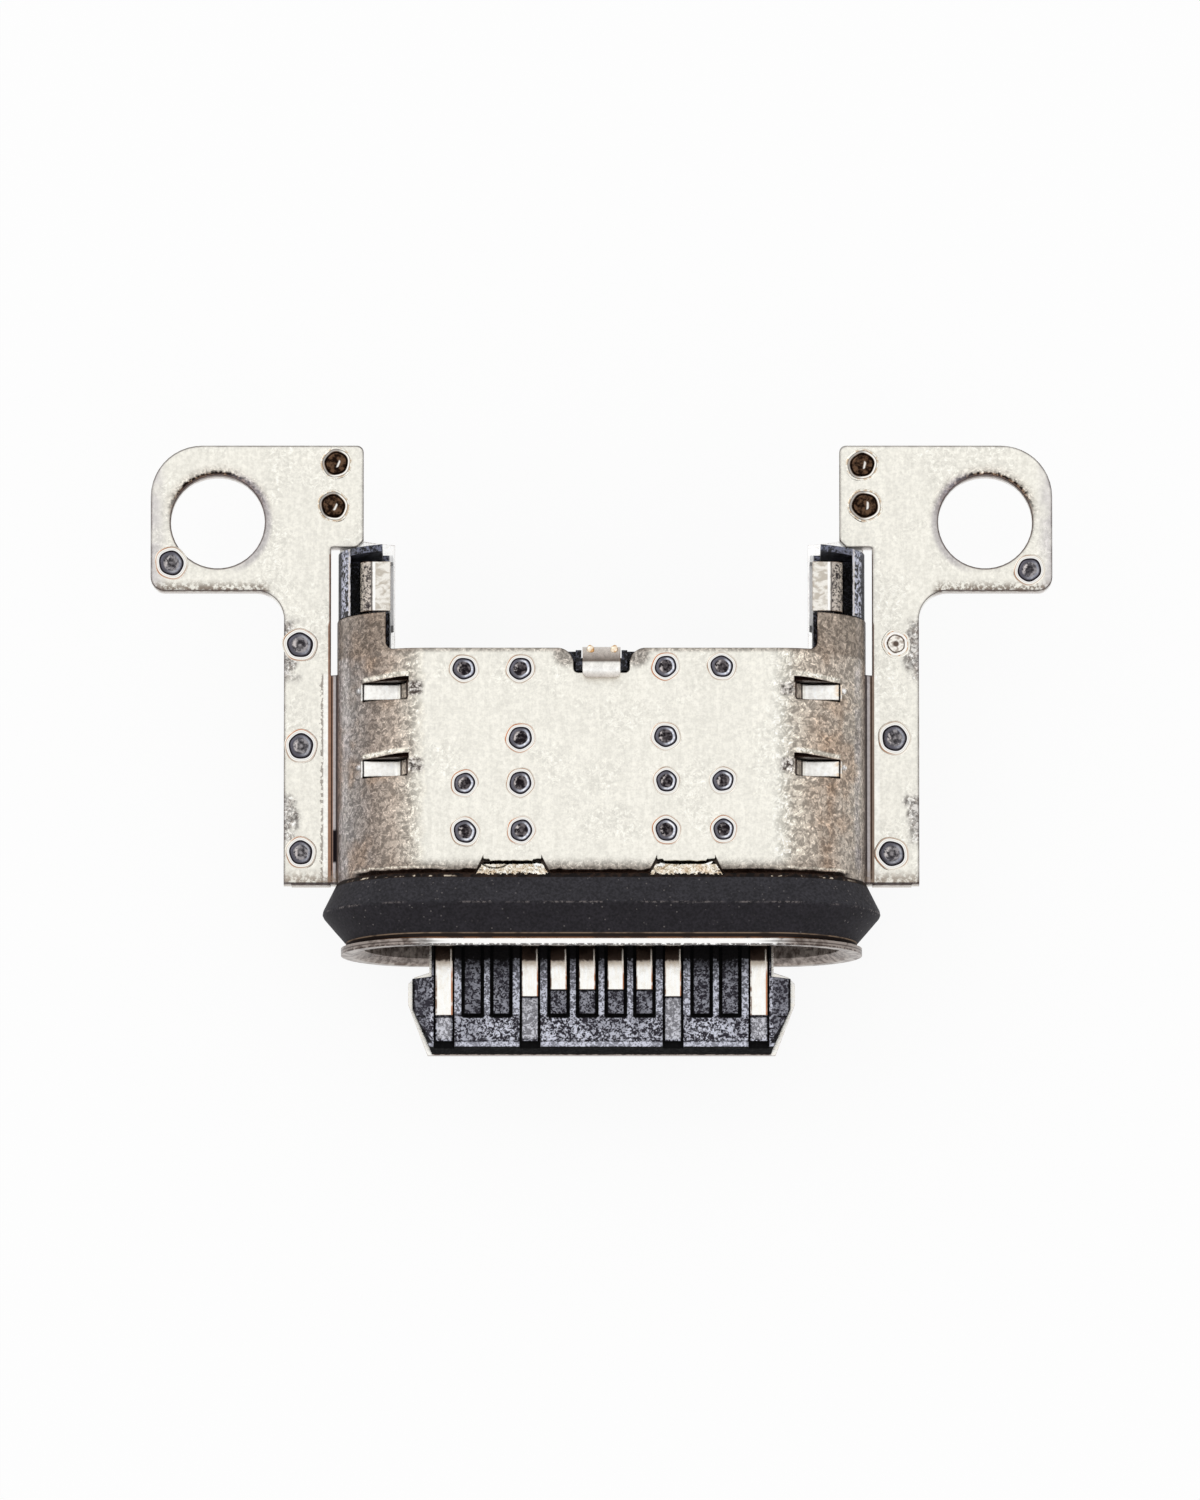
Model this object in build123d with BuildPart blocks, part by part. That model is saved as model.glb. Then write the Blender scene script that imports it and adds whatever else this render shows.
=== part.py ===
from build123d import *
import os

# Charging port: a sealed mid-mount receptacle for a reversible plug, in millimetres.
# X runs across the port, +Y to its rear, +Z up. The plug's axis is the Y axis.
# Y = 0 is the front face of the nose flange, and Z = 0 the middle of the tongue.

# Plug interface
mouth_width = 8.34
mouth_height = 2.56
contact_pitch = 0.50
tongue_thickness = 0.70
tongue_tip_y = -1.745
cavity_floor_y = 2.70

# Drawn nose shell
shell_sheet = 0.11
shell_rear_y = 4.98
flange_thickness = 0.12
flange_inset = 0.07
mouth_flare_side = 0.20
mouth_flare_rise = 0.08

# Two stamped covers
cover_sheet = 0.18
cover_side_gap = 0.17
cover_front_y = 1.25
cover_rear_y = 5.22
fold_radius = 0.14
fold_rear_y = 4.93

# Side strips and ears
strip_width = 0.82
strip_front_y = 1.23
strip_slit = 0.11
strip_chamfer = 0.14
ear_overhang = 2.34
ear_inner_reach = 0.57
ear_front_y = 6.43
ear_step_y = 7.20
ear_rear_y = 9.00
ear_rear_radius = 0.90
ear_front_radius = 0.25
ear_root_radius = 0.50
ear_inner_radius = 0.12
screw_hole_radius = 0.825
screw_edge = 1.175
screw_y = 7.65

# Rear lobes of the covers, and the corner blocks of the housing
top_lobe_width = 0.86
top_lobe_rear_y = 5.88
under_lobe_width = 1.00
under_lobe_rear_y = 7.45
lobe_root_radius = 0.13
block_width = 0.80
block_root_width = 0.93
block_ear_gap = 0.12
block_rear_wall = 0.12
block_side_wall = 0.22
block_floor_z = -0.45
block_top_gap = 0.02

# Lanced fingers in the covers
finger_root_inset = 1.24
finger_tip_inset = 0.48
finger_width = 0.27
finger_window = 0.33
finger_ramp = 0.12
finger_top_z = 1.15
finger_stations = (3.14, 4.49)

# Notches of the top cover's front and rear edges
front_notch_places = (-1.555, 1.475)
front_notch_width = 1.34
front_notch_floor = 1.00
front_notch_depth = 0.32
rear_notch_width = 0.98
rear_notch_depth = 0.44
rear_notch_radius = 0.08
rear_mouth_radius = 0.28

# Crimp tab of the under cover
tab_width = 0.66
tab_tip_y = 4.67
tab_bend = 0.15
tab_root = 0.22
tab_tip_radius = 0.10

# Rubber seal round the nose
seal_ridge_y = 0.71
seal_ridge_rise = 0.27
seal_ridge_radius = 0.10
seal_front_rise = 0.12

# Tongue plan
neck_half_width = 2.97
head_half_width = 3.305
head_rear_y = -0.45
neck_front_y = -0.41
head_front_y = -0.96
tip_half_width = 2.96
base_half_width = 3.05
base_half_height = 0.62
base_front_y = 1.60
tip_bevel_y = -1.545
tip_bevel_drop = 0.05
tip_slope_y = -1.637
tip_edge_height = 0.09

# Latch plate in the middle of the tongue
plate_thickness = 0.15
plate_neck_half_width = 3.01
plate_neck_front_y = -0.31
plate_shoulder_half_width = 3.26
plate_shoulder_y = -0.39
plate_head_half_width = 3.38
plate_head_rear_y = -0.51
plate_slant_y = -0.86
plate_tip_half_width = 3.04
plate_tip_y = -1.76
plate_rear_y = 3.85
plate_window_length = 1.70
plate_window_width = 0.36
plate_window_x = 1.50
plate_window_y = 0.60

# Stamped contacts
contact_sheet = 0.15
signal_width = 0.28
ground_width = 0.30
signal_tip_y = -0.632
power_tip_y = -0.754
ground_tip_y = -1.085
contact_bend = 0.16
contact_inset = 0.015
lower_leg_y = 4.05
upper_leg_y = 4.45
foot_length = 0.34
foot_drop = 0.05
pocket_width = 0.40
pocket_front_y = -1.12
pocket_rear_y = 1.20
pocket_depth = 0.10
groove_width = 0.36
pad_drop = 0.04
pad_gap = 0.05

# Wafers, housing and sealant
fit = 0.02
wafer_half_width = 3.05
wafer_front_y = 2.90
lower_wafer_rear_y = 3.90
upper_wafer_rear_y = 4.25
housing_pocket_rear_y = 4.80
housing_rear_y = 5.18
tail_window_front_y = 3.62
tail_window_half_width = 3.05

# Grounding plates on the tongue's base
ground_sheet = 0.10
ground_half_width = 2.60
ground_rear_y = 3.40
ground_lip = 0.16

# Solder legs in the corner blocks
leg_sheet = 0.16
leg_inner_inset = 0.94
leg_outer_inset = 0.41
leg_front_y = 5.93
leg_rear_y = 6.80
leg_top_z = 1.18
leg_bend = 0.08
leg_seat = 0.12

# Sizes that follow from those above
mouth_radius = mouth_height / 2
shell_half_width = mouth_width / 2 + shell_sheet
shell_half_height = mouth_height / 2 + shell_sheet
cover_half_height = shell_half_height + cover_sheet
inner_half_width = shell_half_width + cover_side_gap
inner_half_height = shell_half_height
cover_half_width = inner_half_width + cover_sheet
strip_inner_x = cover_half_width + strip_slit
strip_half_span = strip_inner_x + strip_width
ear_half_span = strip_half_span + ear_overhang
ear_inner_x = strip_inner_x - ear_inner_reach
screw_spacing = 2 * (ear_half_span - screw_edge)
top_lobe_inner_x = cover_half_width - top_lobe_width
under_lobe_inner_x = cover_half_width - under_lobe_width
block_inner_x = cover_half_width - block_width
block_root_x = cover_half_width - block_root_width
block_rear_y = ear_step_y - block_ear_gap
finger_root_x = cover_half_width - finger_root_inset
finger_tip_x = cover_half_width - finger_tip_inset
leg_inner_x = cover_half_width - leg_inner_inset
leg_outer_x = cover_half_width - leg_outer_inset
roof_centre_x = cover_half_width - cover_half_height
flange_half_width = cover_half_width - flange_inset
flange_half_height = cover_half_height - flange_inset
tongue_top = tongue_thickness / 2
contact_z = tongue_top - contact_inset - contact_sheet / 2
foot_z = -(cover_half_height + foot_drop + contact_sheet / 2)
tail_window_rear_y = housing_pocket_rear_y + 2 * fit
far = 12.0


def station(y):
    """A plane across the port at y: its x is X, its y is Z, and it faces the mouth."""
    return Plane.XZ.offset(-y)


def slot(half_width, half_height, mode=Mode.ADD):
    """A stadium, two straight runs and two round ends, in the sketch that is open."""
    return SlotOverall(2 * half_width, 2 * half_height, mode=mode)


def slot_bar(half_width, half_height, front_y, rear_y):
    """A solid of stadium section from front_y back to rear_y."""
    with BuildPart() as bar:
        with BuildSketch(station(front_y)):
            slot(half_width, half_height)
        extrude(amount=front_y - rear_y)
    return bar.part


def block(x_min, x_max, y_min, y_max, z_min, z_max):
    """A plain box between its limits."""
    with BuildPart() as box:
        with Locations(((x_min + x_max) / 2, (y_min + y_max) / 2, (z_min + z_max) / 2)):
            Box(x_max - x_min, y_max - y_min, z_max - z_min)
    return box.part


def both_sides(shape):
    """A shape of the right side together with its mirror image on the left."""
    return [shape, mirror(shape, about=Plane.YZ, mode=Mode.PRIVATE)]


def crown(front_y, rear_y, inner_x=0.0, low_z=0.0):
    """The rounded roof of a cover, on the right from inner_x outwards, above low_z."""
    with BuildPart() as roof:
        with BuildSketch(station(front_y)):
            slot(cover_half_width, cover_half_height)
            slot(inner_half_width, inner_half_height, Mode.SUBTRACT)
            with Locations((inner_x, low_z)):
                Rectangle(far, far, align=(Align.MIN, Align.MIN), mode=Mode.INTERSECT)
        extrude(amount=front_y - rear_y)
    return roof.part


def fold():
    """The bend that joins the roof to the side strip, with its hollow corner."""
    with BuildPart() as bend:
        with BuildSketch(station(cover_front_y)) as section:
            slot(cover_half_width, cover_half_height)
            Rectangle(2 * strip_half_span, 2 * cover_sheet)
            corners = section.vertices().filter_by(lambda v: abs(v.Y) > cover_sheet * 0.9)
            corners = corners.filter_by(lambda v: cover_half_width * 0.9 < abs(v.X) < cover_half_width)
            fillet(corners, fold_radius)
            slot(inner_half_width, inner_half_height, Mode.SUBTRACT)
            with Locations((inner_half_width * 0.9, 0)):
                Rectangle(far, far, align=(Align.MIN, Align.MIN), mode=Mode.INTERSECT)
        extrude(amount=cover_front_y - fold_rear_y)
    return bend.part


def strip_and_ear():
    """The flat side strip with the screw ear at its rear, one sheet thick."""
    with BuildPart() as wing:
        with BuildSketch() as plan:
            with BuildLine():
                Polyline(
                    (strip_inner_x, strip_front_y),
                    (strip_half_span, strip_front_y),
                    (strip_half_span, ear_front_y),
                    (ear_half_span, ear_front_y),
                    (ear_half_span, ear_rear_y),
                    (ear_inner_x, ear_rear_y),
                    (ear_inner_x, ear_step_y),
                    (strip_inner_x, ear_step_y),
                    close=True,
                )
            make_face()
            rounded = (
                (strip_half_span, ear_front_y, ear_root_radius),
                (ear_half_span, ear_front_y, ear_front_radius),
                (ear_half_span, ear_rear_y, ear_rear_radius),
                (ear_inner_x, ear_rear_y, ear_inner_radius),
            )
            for x, y, radius in rounded:
                fillet(plan.vertices().sort_by_distance((x, y, 0))[0], radius)
            front_corner = (strip_half_span, strip_front_y, 0)
            chamfer(plan.vertices().sort_by_distance(front_corner)[0], strip_chamfer)
            inner_corner = (ear_inner_x, ear_step_y, 0)
            chamfer(plan.vertices().sort_by_distance(inner_corner)[0], ear_inner_radius)
            with Locations((screw_spacing / 2, screw_y)):
                Circle(screw_hole_radius, mode=Mode.SUBTRACT)
        extrude(amount=cover_sheet)
    return wing.part


def lanced_finger(y):
    """A finger cut free on three sides and pressed inwards, its root towards the middle."""
    root_rise = (cover_half_height ** 2 - (finger_root_x - roof_centre_x) ** 2) ** 0.5
    half_sheet = cover_sheet / 2
    with BuildPart() as finger:
        with BuildSketch(station(y - finger_width / 2)):
            with BuildLine():
                FilletPolyline(
                    (finger_root_x - half_sheet, root_rise - half_sheet),
                    (finger_root_x + finger_ramp, finger_top_z - half_sheet),
                    (finger_tip_x, finger_top_z - half_sheet),
                    radius=cover_sheet,
                )
            trace(line_width=cover_sheet)
        extrude(amount=-finger_width)
    return finger.part


def finger_opening(y, inner_x):
    """The window that a lanced finger stands in, from inner_x to its free end."""
    reach = finger_tip_x + fit
    half = finger_window / 2
    return block(inner_x, reach, y - half, y + half, finger_top_z / 2, far)


def formed_cover(lobe_inner_x, lobe_rear_y, lobe_low_z):
    """What both covers share: roof, folds, strips, ears, rear lobes and lanced fingers."""
    sides = both_sides(fold()) + both_sides(strip_and_ear())
    lobe = crown(cover_rear_y, lobe_rear_y, lobe_inner_x, lobe_low_z)
    sides += both_sides(lobe)
    sides += both_sides(crown(cover_front_y, cover_rear_y))
    windows = []
    fingers = []
    for y in finger_stations:
        windows += both_sides(finger_opening(y, finger_root_x))
        fingers += both_sides(lanced_finger(y))
    with BuildPart() as cover:
        add(sides)
        roots = cover.edges().filter_by(Axis.Z).filter_by(lambda e: abs(e.center().Y - cover_rear_y) < fit)
        fillet(roots.filter_by(lambda e: abs(abs(e.center().X) - lobe_inner_x) < fit), lobe_root_radius)
        add(windows, mode=Mode.SUBTRACT)
        add(fingers)
    return cover.part


def trapezoid_notch(x):
    """The slanting notch in the cover's front edge, centred at x."""
    with BuildPart() as notch:
        with BuildSketch(Plane.XY.offset(inner_half_height / 2)):
            with BuildLine():
                Polyline(
                    (x - front_notch_width / 2, cover_front_y - fit),
                    (x + front_notch_width / 2, cover_front_y - fit),
                    (x + front_notch_floor / 2, cover_front_y + front_notch_depth),
                    (x - front_notch_floor / 2, cover_front_y + front_notch_depth),
                    close=True,
                )
            make_face()
        extrude(amount=far)
    return notch.part


def rear_notch():
    """The notch in the cover's rear edge, which rolls out to that edge at its mouth."""
    half = rear_notch_width / 2
    clear = 2 * (half + rear_mouth_radius)
    with BuildPart() as notch:
        with BuildSketch(Plane.XY.offset(inner_half_height / 2)) as plan:
            with Locations((0, cover_rear_y)):
                Rectangle(rear_notch_width, 2 * rear_notch_depth)
                Rectangle(2 * clear, clear, align=(Align.CENTER, Align.MIN))
            corners = plan.vertices().filter_by(lambda v: abs(v.X) < half + fit)
            fillet(corners.group_by(Axis.Y)[0], rear_notch_radius)
            corners = plan.vertices().filter_by(lambda v: abs(v.X) < half + fit)
            fillet(corners.group_by(Axis.Y)[-1], rear_mouth_radius)
        extrude(amount=far)
    return notch.part


# Nose shell: a drawn tube with the mouth's flange at its front
upper_windows = []
for y in finger_stations:
    upper_windows += both_sides(finger_opening(y, finger_root_x - cover_sheet))
lower_windows = [mirror(w, about=Plane.XY, mode=Mode.PRIVATE) for w in upper_windows]
tail_cut = block(
    -tail_window_half_width, tail_window_half_width,
    tail_window_front_y, far, -far, -mouth_radius / 2,
)
tab_cut = block(
    -rear_notch_width / 2, rear_notch_width / 2,
    cover_rear_y - rear_notch_depth, far, 0, far,
)

with BuildPart() as mouth_flare:
    with BuildSketch(station(0)):
        slot(mouth_width / 2 + mouth_flare_side, mouth_radius + mouth_flare_rise)
    with BuildSketch(station(flange_thickness)):
        slot(mouth_width / 2, mouth_radius)
    loft(ruled=True)

with BuildPart() as nose_shell:
    add(slot_bar(shell_half_width, shell_half_height, 0, shell_rear_y))
    add(slot_bar(flange_half_width, flange_half_height, 0, flange_thickness))
    add(slot_bar(mouth_width / 2, mouth_radius, 0, far), mode=Mode.SUBTRACT)
    add(mouth_flare.part, mode=Mode.SUBTRACT)
    add(upper_windows + lower_windows, mode=Mode.SUBTRACT)
    add(tail_cut, mode=Mode.SUBTRACT)
    add(tab_cut, mode=Mode.SUBTRACT)

# Top cover: one stamped sheet, with notches in its front and rear edges
with BuildPart() as top_cover:
    add(formed_cover(top_lobe_inner_x, top_lobe_rear_y, 0))
    for x in front_notch_places:
        add(trapezoid_notch(x), mode=Mode.SUBTRACT)
    add(rear_notch(), mode=Mode.SUBTRACT)

# Under cover: the same forming turned over, with longer lobes, an opening for
# the solder tails, and a tab that is crimped up over the rear of the port
tab_flat_z = -(cover_half_height - cover_sheet / 2)
tab_rear_y = cover_rear_y + fit - cover_sheet / 2
tail_window = block(
    -tail_window_half_width, tail_window_half_width,
    tail_window_front_y, tail_window_rear_y, -far, 0,
)
lower_form = formed_cover(under_lobe_inner_x, under_lobe_rear_y, 2 * cover_sheet)

with BuildPart() as crimp_tab:
    with BuildSketch(Plane.YZ.offset(-tab_width / 2)):
        with BuildLine():
            FilletPolyline(
                (tab_rear_y - tab_root, tab_flat_z),
                (tab_rear_y, tab_flat_z),
                (tab_rear_y, cover_half_height + cover_sheet / 2),
                (tab_tip_y, cover_half_height + cover_sheet / 2),
                radius=tab_bend,
            )
        trace(line_width=cover_sheet)
    extrude(amount=tab_width)
    tip_edges = crimp_tab.edges().filter_by(Axis.Z).group_by(Axis.Y)[0]
    fillet(tip_edges, tab_tip_radius)

with BuildPart() as under_cover:
    add(mirror(lower_form, about=Plane.XY, mode=Mode.PRIVATE))
    add(tail_window, mode=Mode.SUBTRACT)
    add(block(-rear_notch_width / 2, rear_notch_width / 2, tab_rear_y, far, -far, 0), mode=Mode.SUBTRACT)
    add(crimp_tab.part)

# Rubber seal: a ring that swells to a ridge between the flange and the covers
with BuildPart() as seal_ring:
    seal_sections = (
        (flange_thickness, shell_half_width + seal_front_rise, shell_half_height + seal_front_rise),
        (seal_ridge_y, cover_half_width + seal_ridge_rise, cover_half_height + seal_ridge_rise),
        (cover_front_y, cover_half_width, cover_half_height),
    )
    for y, half_width, half_height in seal_sections:
        with BuildSketch(station(y)):
            slot(half_width, half_height)
    loft(ruled=True)
    ridge = seal_ring.edges().filter_by(lambda e: abs(e.center().Y - seal_ridge_y) < fit)
    fillet(ridge, seal_ridge_radius)
    add(slot_bar(shell_half_width, shell_half_height, 0, far), mode=Mode.SUBTRACT)

# Latch plate: the stiff sheet in the middle of the tongue
plate_outline = (
    (plate_neck_half_width, plate_rear_y),
    (plate_neck_half_width, plate_neck_front_y),
    (plate_shoulder_half_width, plate_shoulder_y),
    (plate_head_half_width, plate_head_rear_y),
    (plate_head_half_width, plate_slant_y),
    (plate_tip_half_width, plate_tip_y),
)
tongue_outline = (
    (neck_half_width, wafer_front_y),
    (neck_half_width, neck_front_y),
    (head_half_width, head_rear_y),
    (head_half_width, head_front_y),
    (tip_half_width, tongue_tip_y),
)


def mirrored(outline):
    """A right-hand outline followed by its mirror image, as one closed run of points."""
    return list(outline) + [(-x, y) for x, y in reversed(outline)]


with BuildPart() as mid_plate:
    with BuildSketch(Plane.XY.offset(-plate_thickness / 2)):
        with BuildLine():
            Polyline(*mirrored(plate_outline), close=True)
        make_face()
        with Locations((-plate_window_x, plate_window_y), (plate_window_x, plate_window_y)):
            SlotOverall(plate_window_length, plate_window_width, mode=Mode.SUBTRACT)
    extrude(amount=plate_thickness)


def contact(x, width, tip_y, leg_y, beam_z, foot_reach):
    """A stamped contact: a flat beam in the tongue, a leg down and a foot to solder."""
    with BuildPart() as pin:
        with BuildSketch(Plane.YZ.offset(x - width / 2)):
            with BuildLine():
                FilletPolyline(
                    (tip_y, beam_z),
                    (leg_y, beam_z),
                    (leg_y, foot_z),
                    (leg_y + foot_reach, foot_z),
                    radius=contact_bend,
                )
            trace(line_width=contact_sheet)
        extrude(amount=width)
    return pin.part


# Contacts: a ground, a power and two signals each side of the middle, on both faces
contact_kinds = (
    ("ground", 5.5, ground_width, ground_tip_y),
    ("power", 2.5, signal_width, power_tip_y),
    ("outer_signal", 1.5, signal_width, signal_tip_y),
    ("inner_signal", 0.5, signal_width, signal_tip_y),
)
contacts = {}
for kind, pitches, width, tip_y in contact_kinds:
    for side, sign in (("left", -1), ("right", 1)):
        x = sign * pitches * contact_pitch
        upper = contact(x, width, tip_y, upper_leg_y, contact_z, foot_length)
        lower = contact(x, width, tip_y, lower_leg_y, -contact_z, -foot_length)
        contacts[f"upper_{kind}_{side}"] = upper
        contacts[f"lower_{kind}_{side}"] = lower
contact_solids = list(contacts.values())


def on_both_faces(shapes):
    """Shapes of the tongue's upper right quarter, repeated on its other three."""
    upper = [half for shape in shapes for half in both_sides(shape)]
    return upper + [mirror(shape, about=Plane.XY, mode=Mode.PRIVATE) for shape in upper]


# Each place on the tongue: its pitches from the middle, and how wide and how far
# forward its recess and the low pad inside it run
pad_top = tongue_top - pad_drop
recess_floor = tongue_top - pocket_depth
recesses = []
pads = []
for place in range(6):
    x = (place + 0.5) * contact_pitch
    runs_out = place in (2, 5)
    half_recess = (groove_width if runs_out else pocket_width) / 2
    half_pad = (ground_width if place == 5 else signal_width) / 2
    recess_front = tongue_tip_y - pad_gap if runs_out else pocket_front_y
    pad_front = tip_bevel_y if runs_out else pocket_front_y + pad_gap
    recesses.append(block(
        x - half_recess, x + half_recess, recess_front, pocket_rear_y, recess_floor, far,
    ))
    pads.append(block(x - half_pad, x + half_pad, pad_front, pocket_rear_y, 0, pad_top))

# Tongue moulding: the plastic that holds the contacts round the latch plate
with BuildPart() as tongue_molding:
    with BuildSketch(Plane.YZ.offset(-head_half_width)):
        with BuildLine():
            Polyline(
                (wafer_front_y, -tongue_top),
                (tip_bevel_y, -tongue_top),
                (tip_slope_y, -tongue_top + tip_bevel_drop),
                (tongue_tip_y, -tip_edge_height),
                (tongue_tip_y, tip_edge_height),
                (tip_slope_y, tongue_top - tip_bevel_drop),
                (tip_bevel_y, tongue_top),
                (wafer_front_y, tongue_top),
                close=True,
            )
        make_face()
    extrude(amount=2 * head_half_width)
    with BuildSketch(Plane.XY.offset(-tongue_top)):
        with BuildLine():
            Polyline(*mirrored(tongue_outline), close=True)
        make_face()
    extrude(amount=tongue_thickness, mode=Mode.INTERSECT)
    add(block(
        -base_half_width, base_half_width, base_front_y, wafer_front_y,
        -base_half_height, base_half_height,
    ))
    add(on_both_faces(recesses), mode=Mode.SUBTRACT)
    add(on_both_faces(pads))
    add(mid_plate.part, mode=Mode.SUBTRACT)
    add(contact_solids, mode=Mode.SUBTRACT)


def wafer(rear_y, low_z, high_z):
    """A moulded bar behind the tongue that carries one row of contacts."""
    with BuildPart() as bar:
        add(block(-wafer_half_width, wafer_half_width, wafer_front_y, rear_y, low_z, high_z))
        add(contact_solids, mode=Mode.SUBTRACT)
    return bar.part


plate_top = plate_thickness / 2
upper_wafer = wafer(upper_wafer_rear_y, plate_top, base_half_height)
lower_wafer = wafer(lower_wafer_rear_y, -base_half_height, -plate_top)

# Grounding plates: they lie on the tongue's base, each with a lip over its front
with BuildPart() as upper_ground_plate:
    with BuildSketch(Plane.YZ.offset(-ground_half_width)):
        lip_y = base_front_y - fit - ground_sheet / 2
        lie_z = base_half_height + ground_sheet / 2
        with BuildLine():
            FilletPolyline(
                (lip_y, lie_z - ground_lip),
                (lip_y, lie_z),
                (ground_rear_y, lie_z),
                radius=ground_sheet * 0.6,
            )
        trace(line_width=ground_sheet)
    extrude(amount=2 * ground_half_width)
lower_ground_plate = mirror(upper_ground_plate.part, about=Plane.XY, mode=Mode.PRIVATE)

# Solder leg: a bent strip that stands in each rear corner block
with BuildPart() as right_solder_leg:
    with BuildSketch(station(leg_front_y)):
        with BuildLine():
            FilletPolyline(
                (leg_inner_x, leg_top_z - leg_sheet / 2),
                (leg_outer_x - leg_sheet / 2, leg_top_z - leg_sheet / 2),
                (leg_outer_x - leg_sheet / 2, block_floor_z - leg_seat),
                radius=leg_sheet / 2 + leg_bend,
            )
        trace(line_width=leg_sheet)
    extrude(amount=leg_front_y - leg_rear_y)
left_solder_leg = mirror(right_solder_leg.part, about=Plane.YZ, mode=Mode.PRIVATE)


def corner_block():
    """The housing's right rear corner: solid under the lobe, an open tray behind it."""
    tray_front_y = top_lobe_rear_y + fit
    side_x = cover_half_width - block_top_gap - block_side_wall
    with BuildPart() as corner:
        with BuildSketch(station(housing_rear_y - fit)):
            slot(inner_half_width - fit, inner_half_height - fit)
            with Locations((block_root_x, 0)):
                Rectangle(far, far, align=(Align.MIN, Align.CENTER), mode=Mode.INTERSECT)
        extrude(amount=housing_rear_y - fit - tray_front_y)
        with BuildSketch(station(tray_front_y)):
            slot(inner_half_width - fit, inner_half_height - fit)
            with Locations((under_lobe_inner_x + fit, 0)):
                Rectangle(far, far, align=(Align.MIN, Align.MAX), mode=Mode.INTERSECT)
        extrude(amount=tray_front_y - block_rear_y)
        with BuildSketch(station(tray_front_y)):
            slot(cover_half_width - block_top_gap, cover_half_height - block_top_gap)
            with Locations((block_inner_x, 0)):
                Rectangle(far, far, align=(Align.MIN, Align.MIN), mode=Mode.INTERSECT)
        extrude(amount=tray_front_y - block_rear_y)
        tray_rear_y = block_rear_y - block_rear_wall
        add(block(0, side_x, tray_front_y, tray_rear_y, 0, far), mode=Mode.SUBTRACT)
        lower_side_x = leg_outer_x + fit
        add(block(0, lower_side_x, tray_front_y, tray_rear_y, block_floor_z, far), mode=Mode.SUBTRACT)
        add(right_solder_leg.part, mode=Mode.SUBTRACT)
    return corner.part


# Rear housing: the moulded body behind the plug's cavity, with its corner blocks
pocket_half = wafer_half_width + fit
pocket_top = base_half_height + fit
tab_front_y = tab_rear_y - cover_sheet / 2
housing_corners = both_sides(corner_block())
housing_pockets = [
    block(-pocket_half, pocket_half, 0, lower_wafer_rear_y, -pocket_top, pocket_top),
    block(-pocket_half, pocket_half, tail_window_front_y, housing_pocket_rear_y, -far, pocket_top),
    block(
        -ground_half_width - fit, ground_half_width + fit, 0, ground_rear_y + fit,
        -pocket_top - ground_sheet, pocket_top + ground_sheet,
    ),
    block(-tab_width / 2 - fit, tab_width / 2 + fit, tab_front_y - fit, far, -far, cover_half_height),
]
boss_half = rear_notch_width / 2 - 2 * fit
boss_front_y = cover_rear_y - rear_notch_depth + 2 * fit

with BuildPart() as rear_housing:
    add(slot_bar(mouth_width / 2 - fit, mouth_radius - fit, cavity_floor_y, shell_rear_y + fit))
    add(slot_bar(inner_half_width - fit, inner_half_height - fit, shell_rear_y + fit, housing_rear_y))
    add(block(
        -boss_half, boss_half, boss_front_y, housing_rear_y,
        mouth_radius / 2, cover_half_height - fit,
    ))
    add(housing_corners)
    add(housing_pockets + upper_windows + lower_windows, mode=Mode.SUBTRACT)

# Sealant: the resin poured round the legs of the contacts from below
with BuildPart() as rear_sealant:
    add(block(
        -wafer_half_width, wafer_half_width, lower_wafer_rear_y, housing_pocket_rear_y - fit,
        -mouth_radius, plate_top,
    ))
    add(block(
        -wafer_half_width, wafer_half_width, tail_window_front_y + fit, lower_wafer_rear_y,
        -mouth_radius, -pocket_top,
    ))
    add(contact_solids, mode=Mode.SUBTRACT)

pieces = {
    "top_cover": top_cover.part,
    "under_cover": under_cover.part,
    "nose_shell": nose_shell.part,
    "seal_ring": seal_ring.part,
    "mid_plate": mid_plate.part,
    "tongue_molding": tongue_molding.part,
    "upper_wafer": upper_wafer,
    "lower_wafer": lower_wafer,
    "upper_ground_plate": upper_ground_plate.part,
    "lower_ground_plate": lower_ground_plate,
    "left_solder_leg": left_solder_leg,
    "right_solder_leg": right_solder_leg.part,
    "rear_housing": rear_housing.part,
    "rear_sealant": rear_sealant.part,
}
for name, solid in contacts.items():
    pieces[name + "_contact"] = solid

os.makedirs("parts", exist_ok=True)
for name, solid in pieces.items():
    solid.label = name
    export_step(solid, "parts/" + name + ".step")
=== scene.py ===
import math
from functools import reduce
from types import SimpleNamespace

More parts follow.
